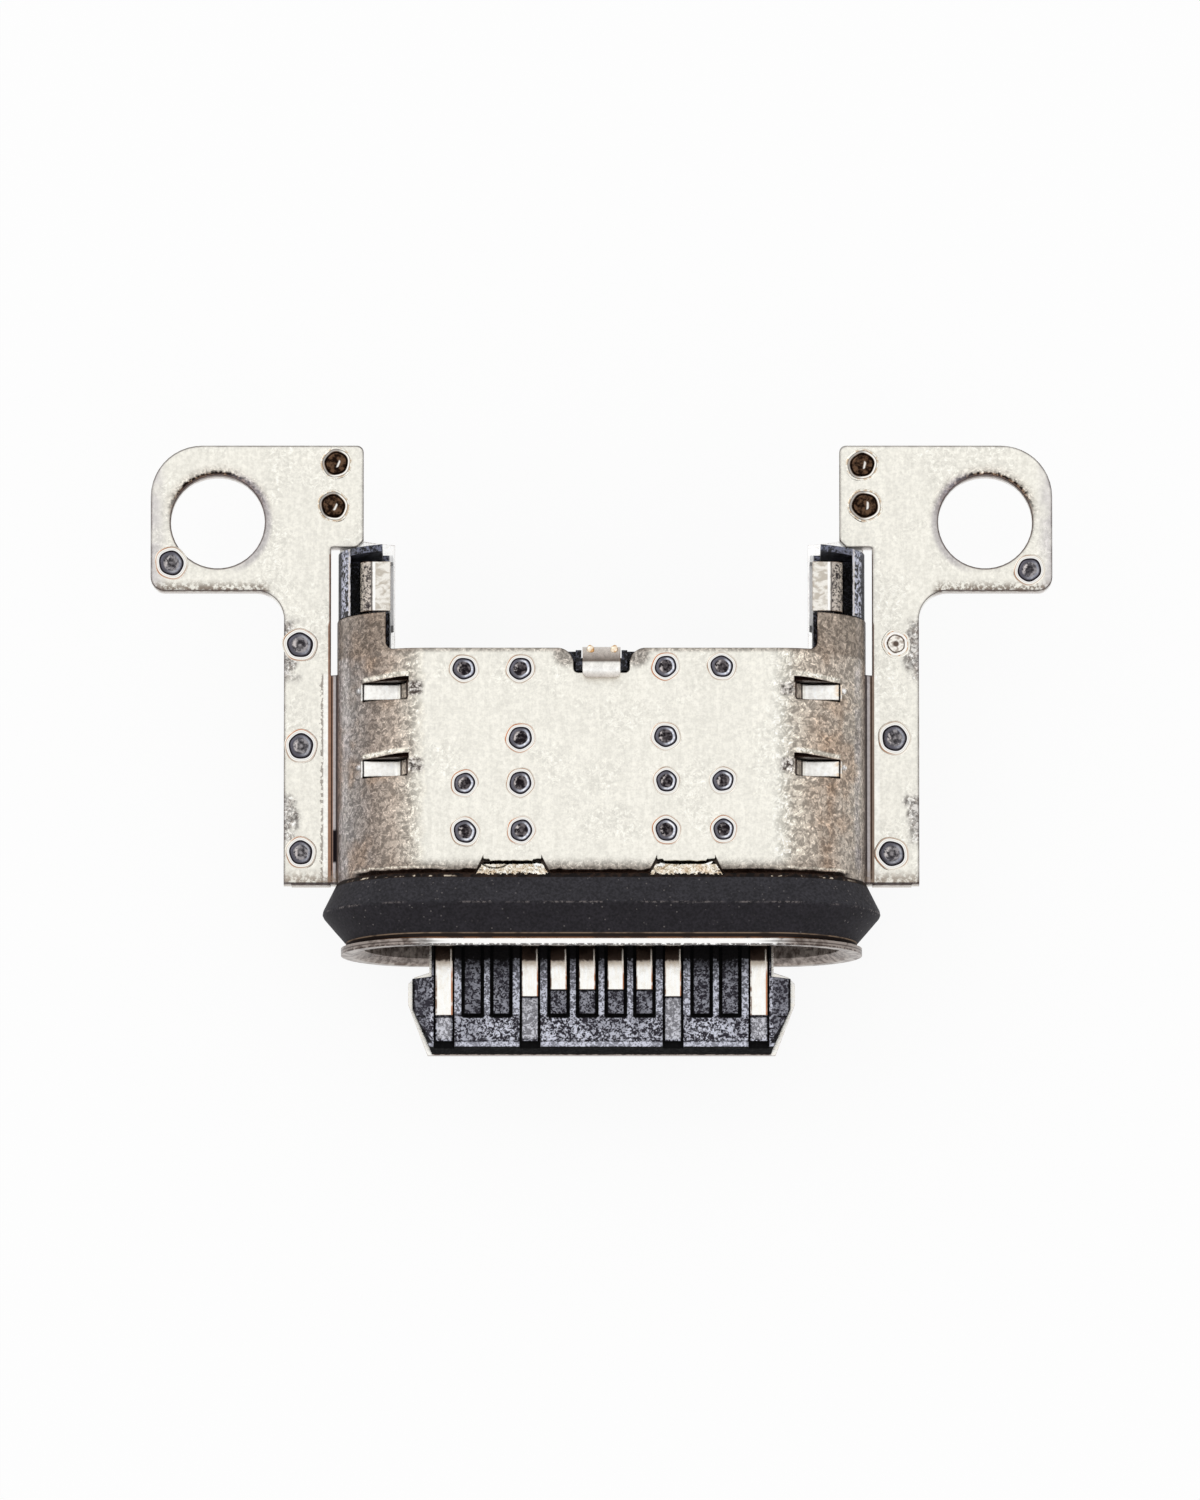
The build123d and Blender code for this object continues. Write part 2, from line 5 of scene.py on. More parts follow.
import bpy
import numpy as np
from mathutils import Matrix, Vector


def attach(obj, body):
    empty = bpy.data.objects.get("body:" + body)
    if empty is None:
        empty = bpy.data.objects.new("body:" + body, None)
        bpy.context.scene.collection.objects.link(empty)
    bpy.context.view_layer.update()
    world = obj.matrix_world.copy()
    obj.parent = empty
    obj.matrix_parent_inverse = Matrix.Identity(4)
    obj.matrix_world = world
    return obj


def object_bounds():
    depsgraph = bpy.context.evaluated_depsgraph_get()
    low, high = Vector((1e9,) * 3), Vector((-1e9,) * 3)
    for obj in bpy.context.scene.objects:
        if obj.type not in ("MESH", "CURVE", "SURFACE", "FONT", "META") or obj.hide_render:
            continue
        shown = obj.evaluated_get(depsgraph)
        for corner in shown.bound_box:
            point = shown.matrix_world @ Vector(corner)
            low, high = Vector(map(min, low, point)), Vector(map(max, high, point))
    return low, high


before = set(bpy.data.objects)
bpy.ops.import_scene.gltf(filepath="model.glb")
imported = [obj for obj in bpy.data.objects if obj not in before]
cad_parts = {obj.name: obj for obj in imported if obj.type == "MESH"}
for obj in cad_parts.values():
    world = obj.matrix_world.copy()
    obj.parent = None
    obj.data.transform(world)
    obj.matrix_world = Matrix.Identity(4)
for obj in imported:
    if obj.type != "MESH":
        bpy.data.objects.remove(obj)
cad_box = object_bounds()

MM = 0.001
TURN = 2 * math.pi

# Sizes of the port, in millimetres, as its construction gives them
SHEET = 0.18
ROOF_TOP = 1.57
ROOF_ARC_X = 3.06
COVER_FRONT_Y = 1.25
COVER_REAR_Y = 5.22
STRIP_INNER_X = 4.74
STRIP_BEAD_X = 4.885
PRESSED_PLACES = ((4.86, 5.9), (1.98, 2.8))
EAR_FRONT_Y = 6.42
FLANGE_REAR_Y = 0.14
FLANGE_REACH = 1.475
SEAL_RIDGE_Y = 0.71
LEG_BEND_X = 4.00
TRAY_FRONT_Y = 5.9
TRAY_OUTER_X = 4.39
TRAY_INNER_X = 3.72
SCREW_X = 6.725
SCREW_Y = 7.65
SCREW_RADIUS = 0.825
FINGER_ROOT_X = 3.39
FINGER_FLAT_X = 3.51
FINGER_TIP_X = 4.15
FINGER_STATIONS = (3.14, 4.49)
NOTCH_PLACES = (-1.555, 1.475)
SHELL_TOP = 1.39
TAB_TOP = 1.75
TAB_HALF = 0.475
TAB_FRONT_Y = 4.66

# Sizes of the tongue: its head, its top and pads, its recesses and the tips of the contacts
CONTACTS_PER_MM = 2.0
TONGUE_TIP_Y, TONGUE_TIP_HALF = -1.745, 2.96
TONGUE_HEAD_Y, TONGUE_HEAD_HALF = -0.96, 3.305
TONGUE_TOP = 0.35
PAD_TOP = 0.31
BEVEL_Y = -1.545
RECESS_FRONT_Y = -1.1
SIGNAL_TIP_Y = -0.65
POWER_TIP_Y = -0.765
GROUND_TIP_Y = -1.114
POWER_X = (1.0, 1.5)
GROUND_X = 2.5

# Spot welds, as (X, Y) of each centre
PLATE_WELDS = (
    (-2.4, 4.85), (-1.415, 4.85), (-1.415, 3.63), (-2.39, 2.83), (-1.415, 2.84),
    (-2.38, 1.98), (-1.4, 2.00), (1.12, 4.89), (2.1, 4.89), (1.12, 3.66),
    (1.135, 2.87), (2.12, 2.88), (1.135, 2.01), (2.13, 2.02),
)
EAR_WELDS = ((-7.54, 6.92), (7.5, 6.8))
SCORCHED_WELDS = ((-4.65, 8.69), (-4.7, 7.93), (4.57, 8.66), (4.62, 7.94))
STRIP_WELDS = ((-5.28, 5.47), (-5.26, 3.68), (-5.26, 1.8), (5.13, 3.82), (5.08, 1.78))
BRIGHT_WELD = (5.16, 5.49)

# The photograph's frame and view
PHOTO_HEIGHT_PX = 1500
PX_PER_MM = 57.1
VIEW_TILT = math.radians(8.0)
VIEW_TARGET = (-0.026 * MM, 3.637 * MM, 0.0)
VIEW_DISTANCE = 0.42
SENSOR_HEIGHT = 24.0


CREAM = "#f2efe5"
BROWN = "#765844"


def photo_camera():
    """A long lens above the main face, tilted towards the mouth as in the photograph."""
    data = bpy.data.cameras.new("photo_camera")
    data.sensor_fit = "VERTICAL"
    data.sensor_height = SENSOR_HEIGHT
    seen_height = PHOTO_HEIGHT_PX / PX_PER_MM * MM
    data.lens = SENSOR_HEIGHT * VIEW_DISTANCE / seen_height
    data.clip_start = 0.01
    data.clip_end = 10.0
    camera = bpy.data.objects.new("photo_camera", data)
    bpy.context.scene.collection.objects.link(camera)
    x, y, z = VIEW_TARGET
    away = VIEW_DISTANCE
    camera.location = (x, y - away * math.sin(VIEW_TILT), z + away * math.cos(VIEW_TILT))
    camera.rotation_euler = (VIEW_TILT, 0, 0)
    bpy.context.scene.camera = camera


def tone(code):
    """A colour as the eye reads it, #rrggbb, turned into the light it stands for."""
    return tuple((c / 255) ** 2.2 for c in bytes.fromhex(code[1:]))


def reckoning(operation, turned=False):
    """A way to reckon with a value, which adds a node for it; turned puts it second."""

    def reckon(value, other=0.0):
        pair = (other, value) if turned else (value, other)
        return value.finish.math(operation, *pair)

    return reckon


class Value:
    """A number at each point of the surface, as the socket of a node gives it.

    a * b lets two masks hold together, a | b takes the larger of them, and 1 - a is what a
    mask leaves."""

    def __init__(self, finish, socket):
        self.finish, self.socket = finish, socket

    __add__, __mul__ = reckoning("ADD"), reckoning("MULTIPLY")
    __sub__, __rsub__ = reckoning("SUBTRACT"), reckoning("SUBTRACT", turned=True)
    __truediv__, __or__ = reckoning("DIVIDE"), reckoning("MAXIMUM")
    __lt__, __gt__ = reckoning("LESS_THAN"), reckoning("GREATER_THAN")
    __abs__ = reckoning("ABSOLUTE")


class Finish:
    """A material while it is built: each call adds a node and gives back what it puts out.

    What is laid so far is its colour, and lay puts one more tone over it."""

    def __init__(self, name, kept_in=bpy.data.materials):
        self.owner = kept_in.new(name)
        self.owner.use_nodes = True
        self.tree = self.owner.node_tree
        self.tree.nodes.clear()
        self.places = None
        self.colour = None

    def node(self, kind, settings=None, **inputs):
        made = self.tree.nodes.new(kind)
        for key, value in (settings or {}).items():
            setattr(made, key, value)
        for key, value in inputs.items():
            self.feed(made.inputs[key.replace("_", " ")], value)
        return made

    def feed(self, socket, value):
        """Gives a socket a number, a value, the output of a node or a #rrggbb colour."""
        value = tone(value) if isinstance(value, str) else getattr(value, "socket", value)
        if isinstance(value, bpy.types.NodeSocket):
            self.tree.links.new(value, socket)
        elif isinstance(value, tuple) and len(value) == 3 and len(socket.default_value) == 4:
            socket.default_value = (*value, 1.0)
        else:
            socket.default_value = value

    def coords(self):
        """Object coordinates, counted in millimetres."""
        if self.places is None:
            source = self.node("ShaderNodeTexCoord").outputs["Object"]
            grown = self.node("ShaderNodeVectorMath", {"operation": "SCALE"})
            self.feed(grown.inputs[0], source)
            grown.inputs["Scale"].default_value = 1 / MM
            self.places = grown.outputs[0]
        return self.places

    def axis(self, name):
        """One coordinate, X, Y or Z, in millimetres."""
        parts = self.node("ShaderNodeSeparateXYZ", Vector=self.coords())
        return Value(self, parts.outputs[name])

    def outward(self):
        """The distance from the middle plane X = 0, the same on both sides."""
        return abs(self.axis("X"))

    def in_pitch(self, value):
        """Where a value lies within its step of the contact pitch, from -0.5 to 0.5."""
        return self.math("FRACT", value * CONTACTS_PER_MM) - 0.5

    def own(self, attribute):
        """A number that the mesh itself carries at each point."""
        made = self.node("ShaderNodeAttribute", {"attribute_name": attribute})
        return Value(self, made.outputs["Fac"])

    def noise(
        self, scale, detail=3.0, stretch=(1, 1, 1), shift=(0, 0, 0), roughness=0.5, warp=0.0
    ):
        """Noise with scale cells to the millimetre, drawn out along an axis by stretch."""
        placed = self.node(
            "ShaderNodeMapping", Vector=self.coords(), Scale=stretch, Location=shift,
        )
        made = self.node(
            "ShaderNodeTexNoise", Vector=placed.outputs[0], Scale=scale, Detail=detail,
            Roughness=roughness, Distortion=warp,
        )
        return Value(self, made.outputs["Fac"])

    def crumbs(self, scale, shift=(0, 0, 0)):
        """Noise with a harder, finer grain."""
        return self.noise(scale, 3.0, shift=shift, roughness=0.65)

    def cells(self, scale):
        """Distance in a field of cells, scale of them to the millimetre."""
        made = self.node("ShaderNodeTexVoronoi", Vector=self.coords(), Scale=scale)
        return Value(self, made.outputs["Distance"])

    def math(self, operation, first, second=0.0):
        made = self.node("ShaderNodeMath", {"operation": operation})
        for socket, value in zip(made.inputs, (first, second)):
            self.feed(socket, value)
        return Value(self, made.outputs[0])

    def stray(self, value, grain, amount):
        """A value that strays by up to half an amount either way, as a grain says."""
        return value + (grain - 0.5) * amount

    def product(self, *masks):
        return reduce(lambda one, other: one * other, masks)

    def either(self, *masks):
        return reduce(lambda one, other: one | other, masks)

    def span(self, value, low, high, to_low=0.0, to_high=1.0):
        """A smooth step of value from low to high."""
        made = self.node("ShaderNodeMapRange", {"interpolation_type": "SMOOTHSTEP"})
        keys = ("Value", "From Min", "From Max", "To Min", "To Max")
        for key, given in zip(keys, (value, low, high, to_low, to_high)):
            self.feed(made.inputs[key], given)
        return Value(self, made.outputs[0])

    def between(self, mask, bare, full):
        """A number that goes from bare to full as a mask goes from 0 to 1."""
        return self.span(mask, 0.0, 1.0, bare, full)

    def window(self, value, low, high, soft):
        """1 between low and high, falling to 0 over soft on both sides."""
        rising = self.span(value, low - soft, low + soft)
        return rising * self.span(value, high + soft, high - soft)

    def from_axis(self, centre_x, centre_y):
        """The distance from an upright axis, of which there is one on each side."""
        across, along = self.outward() - centre_x, self.axis("Y") - centre_y
        return self.math("SQRT", across * across + along * along)

    def ring(self, centre_x, centre_y, low, high, soft):
        """1 where the distance from an upright axis lies from low to high."""
        return self.window(self.from_axis(centre_x, centre_y), low, high, soft)

    def mix(self, amount, first, second):
        """Two colours mixed by amount."""
        made = self.node("ShaderNodeMix", {"data_type": "RGBA"})
        self.feed(made.inputs[0], amount)
        self.feed(made.inputs[6], first)
        self.feed(made.inputs[7], second)
        return made.outputs[2]

    def ramp(self, value, *stops):
        """A run of colours, each (value, colour)."""
        made = self.node("ShaderNodeValToRGB", Fac=value)
        points = made.color_ramp.elements
        while len(points) < len(stops):
            points.new(1.0)
        for point, (place, colour) in zip(points, stops):
            point.position = place
            point.color = (*tone(colour), 1.0)
        return made.outputs["Color"]

    def lay(self, over, *masks):
        """Lays a tone over the colour, where and as strongly as the masks together say."""
        self.colour = self.mix(self.product(*masks), self.colour, over)

    def shade(self, factor):
        """Makes the colour lighter or darker by a factor."""
        made = self.node("ShaderNodeVectorMath", {"operation": "SCALE"})
        self.feed(made.inputs[0], self.colour)
        self.feed(made.inputs["Scale"], factor)
        self.colour = made.outputs[0]

    def facing(self, name):
        """How far the surface faces along an axis of the object, either way, from 0 to 1."""
        normal = self.node("ShaderNodeNewGeometry").outputs["Normal"]
        parts = self.node("ShaderNodeSeparateXYZ", Vector=normal)
        return abs(Value(self, parts.outputs[name]))

    def edge(self, radius, low, high):
        """1 along sharp edges within radius, in millimetres, and 0 on open faces."""
        rounded = self.node("ShaderNodeBevel", {"samples": 8}, Radius=radius * MM).outputs[0]
        normal = self.node("ShaderNodeNewGeometry").outputs["Normal"]
        agree = self.node("ShaderNodeVectorMath", {"operation": "DOT_PRODUCT"})
        self.feed(agree.inputs[0], rounded)
        self.feed(agree.inputs[1], normal)
        return self.span(agree.outputs["Value"], high, low)

    def bump(self, height, depth, strength=1.0, soften=None):
        """A surface relief, depth in millimetres, over edges softened by a radius."""
        made = self.node("ShaderNodeBump", Height=height, Strength=strength, Distance=depth * MM)
        if soften:
            rounded = self.node("ShaderNodeBevel", {"samples": 6}, Radius=soften * MM)
            self.feed(made.inputs["Normal"], rounded.outputs[0])
        return made.outputs[0]

    def finish(self, roughness, normal=None, metallic=0.0, **constants):
        """The shader that closes the material; constants go on its own sockets."""
        shader = self.node(
            "ShaderNodeBsdfPrincipled", Base_Color=self.colour, Roughness=roughness,
            Metallic=metallic, **constants,
        )
        if normal is not None:
            self.feed(shader.inputs["Normal"], normal)
        self.node("ShaderNodeOutputMaterial", Surface=shader.outputs[0])
        return self.owner


def fine_grain(f):
    """Factor for the even grain of the flats: fine lumps with faint lengthwise streaks."""
    lumps = f.span(f.noise(15.0, 4.0, shift=(2, 9, 4), roughness=0.7), 0.36, 0.64, 0.905, 1.055)
    streaks = f.span(
        f.noise(13.0, 3.0, stretch=(1.0, 0.14, 1.0), roughness=0.6), 0.36, 0.64, 0.955, 1.025,
    )
    return lumps * streaks


def worm_grain(f):
    """Height and factor of the coarse grain: short bright curled lines over dark lumps."""
    field = f.noise(6.0, 1.4, shift=(3, 1, 7), roughness=0.6, warp=2.2)
    off_line = abs(field - 0.5)
    lines = f.span(off_line, 0.05, 0.0)
    lumps = f.span(
        f.noise(11.0, 1.6, shift=(3, 1, 7), roughness=0.6, warp=0.8), 0.4, 0.6, 0.58, 1.2,
    )
    return lines, lumps * f.between(lines, 0.9, 1.58)


def cover_nickel():
    """Satin nickel: cream on the flats, coarser where the sheet was drawn round, and brown-grey
    there as painted shade.
    """
    f = Finish("satin_nickel_cover")
    roof = f.span(f.axis("Z"), 0.22, 0.32)
    at = SimpleNamespace(
        x=f.axis("X"), outward=f.outward(), along=f.axis("Y"), roof=roof, strip=1 - roof,
        cloud=f.noise(1.1, 3.0), blotch=f.noise(3.5, 3.0, shift=(6, 2, 1)),
        crumbs=f.crumbs(15.0, (8, 8, 2)), right=f.span(f.axis("X"), -0.5, 0.5),
    )
    drawn = roof_tones(f, at)
    front, rear, rolled = roof_edges(f, at)
    slot_side(f, at)
    pressed = pressed_patches(f, at)
    smear = ear_wear(f, at)
    flat = finger_tones(f, at)

    # Grain, coarser where the sheet was drawn; painted shade on faces turned sideways; brown tint
    # and painted shade along the cut edges
    lines, worms = worm_grain(f)
    bent = f.span(drawn, f.between(at.right, -0.02, -0.16), 0.2) * roof
    coarse = f.either(
        bent, front, rolled, pressed, rear * 0.8, smear * 0.8,
        f.span(at.cloud, 0.45, 0.62) * 0.25,
    )
    coarse = coarse * (1 - flat * 0.95)
    f.shade(fine_grain(f) * (1 - coarse) + worms * coarse)
    # Painted shade: faces turned along Y and the strips' sheared sides are darkened
    cut_sides = f.span(f.facing("X"), 0.9, 0.98) * at.strip
    f.lay("#807066", f.span(f.facing("Y"), 0.75, 0.95) | cut_sides, 0.5)
    # Edge bands of brown tint and painted shade: a soft lilac band and dark lines along the edges,
    # in patches
    tint_and_shade = f.span(at.blotch, 0.38, 0.62, 0.45, 1.0)
    broad_tint_and_shade = f.span(tint_and_shade, 0.45, 1.0, 0.7, 1.0)
    f.lay("#968e94", f.edge(0.11, 0.8, 0.995), at.strip, 0.4)
    f.lay("#3a2e2a", f.edge(0.11, 0.76, 0.93), at.strip, broad_tint_and_shade)
    f.lay("#483830", f.edge(0.045, 0.78, 0.98), tint_and_shade, 0.95)
    worm_relief = lines * f.between(coarse, 0.05, 0.6)
    normal = f.bump(at.crumbs * 0.3 + worm_relief, 0.01, 0.7, soften=0.03)
    return f.finish(f.span(at.crumbs, 0.3, 0.7, 0.3, 0.46), normal, metallic=1.0)


def roof_tones(f, at):
    """Tones that follow the bend of the roof, from its flat to the foot of its side: painted shade
    darkening down the bend, and painted light on the right side.
    """
    bend = (at.outward - ROOF_ARC_X) / ROOF_TOP
    drawn = f.stray(bend, at.blotch, 0.16) * at.roof * f.span(at.x, -3.0, 3.0, 1.0, 0.94)
    # Painted shade: the ramp darkens from the flat down the rounded side
    f.colour = f.ramp(
        drawn, (0.0, CREAM), (0.08, "#e7e2d6"), (0.19, "#c7beb2"), (0.36, "#b0a397"),
        (0.6, "#94887f"), (0.8, "#9a938f"), (0.96, "#b2aeb0"),
    )
    # Painted light: the bend of the right side is lighter
    f.lay("#d6cabb", at.right, f.span(drawn, 0.06, 0.25), 0.5)
    f.lay("#a68c76", f.span(drawn, 0.2, 0.5), f.span(at.cloud, 0.46, 0.62), 0.5)
    brown_band = f.window(at.x, 3.84, 4.06, 0.16) * f.span(at.along, 4.6, 3.0)
    f.lay("#92745c", brown_band, at.roof, f.span(at.blotch, 0.35, 0.6, 0.25, 0.7))
    pale_foot = f.window(at.outward, 4.43, 4.54, 0.04) * at.roof
    f.lay("#c2bdbf", pale_foot, f.span(at.blotch, 0.3, 0.6, 0.2, 0.7))
    return drawn


def roof_edges(f, at):
    """The front edge, with painted shade, a black painted shadow line and a chipped painted
    highlight, and painted shade on the rear edge and the rolled mouth of the rear notch.
    """
    from_front = f.stray(at.along, at.blotch, 0.1) - COVER_FRONT_Y
    notches = f.either(*[f.window(at.x, x - 0.42, x + 0.42, 0.03) for x in NOTCH_PLACES])
    beside = at.roof * (1 - notches)
    front = f.span(from_front, 0.31, 0.06) * beside * f.span(at.outward, 4.3, 3.4, 0.25, 1.0)
    # Painted shade where the front edge rolls down, and a black painted shadow line along the edge
    f.lay("#74665c", front, 0.85)
    f.lay("#1c1512", f.span(from_front, 0.09, 0.065), beside, f.span(at.outward, 4.45, 4.2))
    # A painted highlight along the front rim, broken by crumbs
    bright = f.window(from_front, 0.1, 0.13, 0.015) * f.window(at.outward, 3.0, 4.3, 0.3)
    f.lay("#f0e6d6", bright, at.roof, f.span(at.crumbs, 0.4, 0.5, 0.3, 1.0), 0.8)
    rear = f.span(at.along, COVER_REAR_Y - 0.1, COVER_REAR_Y - 0.02) * at.roof
    rolled = f.ring(0.62, COVER_REAR_Y - 0.1, -1.0, 0.22, 0.08) * at.roof
    # Painted shade on the rear edge and on the rolled corners of the rear notch
    f.lay("#86786c", rear, 0.6)
    f.lay("#968c84", rolled, 0.75)
    return front, rear, rolled


def slot_side(f, at):
    """The inner side of each strip: a bright bead, a brown seam, and the flank below it."""
    left = 1 - at.right
    beside_slot = f.span(at.along, 5.0, 4.9) * at.strip
    bead_line = f.span(abs(f.stray(at.outward, at.crumbs, 0.16) - STRIP_BEAD_X), 0.034, 0.018)
    f.lay("#8c827a", bead_line, f.span(f.cells(13.0), 0.3, 0.45), beside_slot, left, 0.8)
    from_inner = at.outward - STRIP_INNER_X
    inner = f.window(from_inner, 0.03, 0.13, 0.015) * beside_slot
    f.lay("#fcfaf4", inner, f.between(left, 0.4, 1.0))
    seam_end = f.between(at.right, 0.042, 0.03) - f.span(at.along, 5.8, 5.9, 0.0, 0.018)
    seam = f.span(from_inner, seam_end + 0.012, seam_end) * at.strip
    f.lay(f.mix(at.right, "#8c5c3e", "#705848"), seam, f.span(at.along, 7.1, 7.06), 0.9)
    foot = at.strip * f.span(at.along, 5.9, 5.8)
    f.lay("#3c302c", f.window(from_inner, -0.03, -0.004, 0.008), foot)
    flank = f.span(from_inner, -0.03, -0.05) * foot
    f.lay("#aaa4a4", flank)
    f.lay("#423a3a", flank, f.window(from_inner, -0.125, -0.09, 0.008))
    drop = f.window(at.along, 1.62, 2.2, 0.03) * f.span(from_inner, -0.12, -0.1) * left
    f.lay("#1e1a1c", flank, drop)


def pressed_patches(f, at):
    """Two rough patches pressed into the outer side of each strip."""
    places = f.either(*[f.window(at.along, low, high, 0.12) for low, high in PRESSED_PLACES])
    reach = f.product(
        f.span(f.stray(at.outward, at.blotch, 0.6), 5.22, 5.48), f.span(at.outward, 5.62, 5.58),
    )
    pressed = places * reach * at.strip
    f.lay(f.mix(f.span(at.crumbs, 0.42, 0.56), "#766c68", "#d4d0cc"), pressed, 0.8)
    torn_edge = f.window(f.stray(at.outward, at.crumbs, 0.22), 5.3, 5.36, 0.02)
    f.lay("#68605c", pressed, torn_edge, 0.7)
    return pressed


def ear_wear(f, at):
    """Smear round each screw hole, painted shade on the rolled rim behind it, worn ends, and the
    edges of the ears, with painted shadow lines along the front edges.
    """
    from_hole = f.from_axis(SCREW_X, SCREW_Y) - SCREW_RADIUS
    torn = f.stray(from_hole, at.crumbs, 0.16)
    behind = f.span(at.along, SCREW_Y - 0.1, SCREW_Y + 0.62, 0.06, 1.0) * at.strip
    smear = f.span(torn, 0.24, 0.02) * behind
    f.lay("#aa9a8c", smear, 0.5)
    # Painted shade on the rolled rim behind each hole, where the sheet bends down, broken by
    # crumbs
    rear_rim_shade = f.mix(f.span(at.crumbs, 0.46, 0.58), "#1e1612", "#806248")
    f.lay(rear_rim_shade, f.span(torn, 0.095, 0.04), behind)
    f.lay("#706054", f.span(from_hole, 0.032, 0.014), at.strip, 0.7)
    inboard = f.window(from_hole, 0.0, 0.12, 0.05) * f.span(at.outward, 6.6, 6.1)
    f.lay("#a49ea4", inboard, at.strip, 0.6)
    worn_end = f.span(at.outward, 7.58, 7.84) * at.strip
    f.lay("#beb8be", worn_end, f.span(at.blotch, 0.3, 0.6, 0.4, 1.0), 0.55)
    from_front = at.along - COVER_FRONT_Y
    lip = f.span(from_front, 0.3, 0.04) * f.span(at.crumbs, 0.38, 0.55, 0.15, 0.8)
    f.lay("#8c7c6e", lip, at.strip)
    from_ear = at.along - EAR_FRONT_Y
    ear = f.span(at.outward, 5.75, 5.95) * at.strip
    # Painted shadow lines along the front edges of the strips and ears
    strip_sill = f.span(from_front, 0.03, 0.018) * at.strip
    f.lay("#221a18", strip_sill | f.span(from_ear, 0.03, 0.018) * ear, f.facing("Z"), 0.9)
    f.lay("#685444", f.span(from_ear, 0.24, 0.03) * f.span(at.crumbs, 0.4, 0.56, 0.0, 0.85), ear)
    block_rear = f.window(at.along, 7.08, 7.2, 0.04) * f.window(at.outward, 4.0, 4.75, 0.08)
    f.lay("#684e3a", block_rear, at.strip, 0.55)
    return smear


def finger_tones(f, at):
    """Lanced fingers: flats white as a painted highlight, painted shade on the slopes and creased
    roots, a dent inboard painted as mottled shade, and a black painted shadow behind each, with a
    painted highlight on the lip.
    """

    def stations(low, high, soft):
        """Windows along the depth, one at each finger."""
        return f.either(*[f.window(at.along, y + low, y + high, soft) for y in FINGER_STATIONS])

    on_finger = stations(-0.14, 0.14, 0.008) * at.roof
    flat = on_finger * f.window(at.outward, FINGER_FLAT_X, FINGER_TIP_X + 0.05, 0.01)
    slope = on_finger * f.window(at.outward, FINGER_ROOT_X, FINGER_FLAT_X, 0.01)
    crease = f.either(
        f.window(at.outward, FINGER_ROOT_X - 0.015, FINGER_ROOT_X + 0.025, 0.01),
        f.window(at.outward, FINGER_FLAT_X - 0.025, FINGER_FLAT_X + 0.005, 0.008),
    )
    # Each dent inboard is painted as mottled light and shade
    dent = stations(-0.1, 0.15, 0.05) * f.window(at.outward, 3.12, FINGER_ROOT_X - 0.02, 0.06)
    dent_shading_tone = f.mix(f.span(at.crumbs, 0.42, 0.58), "#524a46", "#ded8d2")
    f.lay(dent_shading_tone, dent, at.roof, f.span(at.blotch, 0.3, 0.55, 0.5, 1.0))
    # Behind each finger, a black painted shadow wedge, with a lip painted as a highlight beyond it
    shadow_wedges, lip_highlights = [], []
    for y in FINGER_STATIONS:
        shadow_rear = f.span(at.outward, FINGER_TIP_X + 0.05, FINGER_ROOT_X, y + 0.165, y + 0.24)
        before_rear = at.along < shadow_rear
        shadow_wedges.append((at.along > y + 0.13) * before_rear)
        lip_highlights.append(f.window(at.along - shadow_rear, 0.015, 0.085, 0.025))
    wide = f.window(at.outward, FINGER_ROOT_X - 0.03, FINGER_TIP_X + 0.02, 0.012) * at.roof
    f.lay("#f8f1e2", f.either(*lip_highlights), wide, 0.85)
    f.lay("#18110f", f.either(*shadow_wedges), wide)
    spot = f.either(*[f.ring(4.24, y + 0.04, -1.0, 0.035, 0.03) for y in FINGER_STATIONS])
    f.lay("#faf9fa", spot, at.roof)
    # Painted shade on the slopes, and the flats white as a painted highlight
    f.lay("#baaea2", slope)
    f.lay("#fffdf8", flat)
    warm_tip = f.span(at.outward, FINGER_TIP_X - 0.12, FINGER_TIP_X) * at.right
    f.lay("#e8c496", flat, warm_tip, f.span(at.crumbs, 0.4, 0.55), 0.6)
    # Painted shade in the creases at the roots
    f.lay("#38261e", crease, on_finger, 0.92)
    return flat


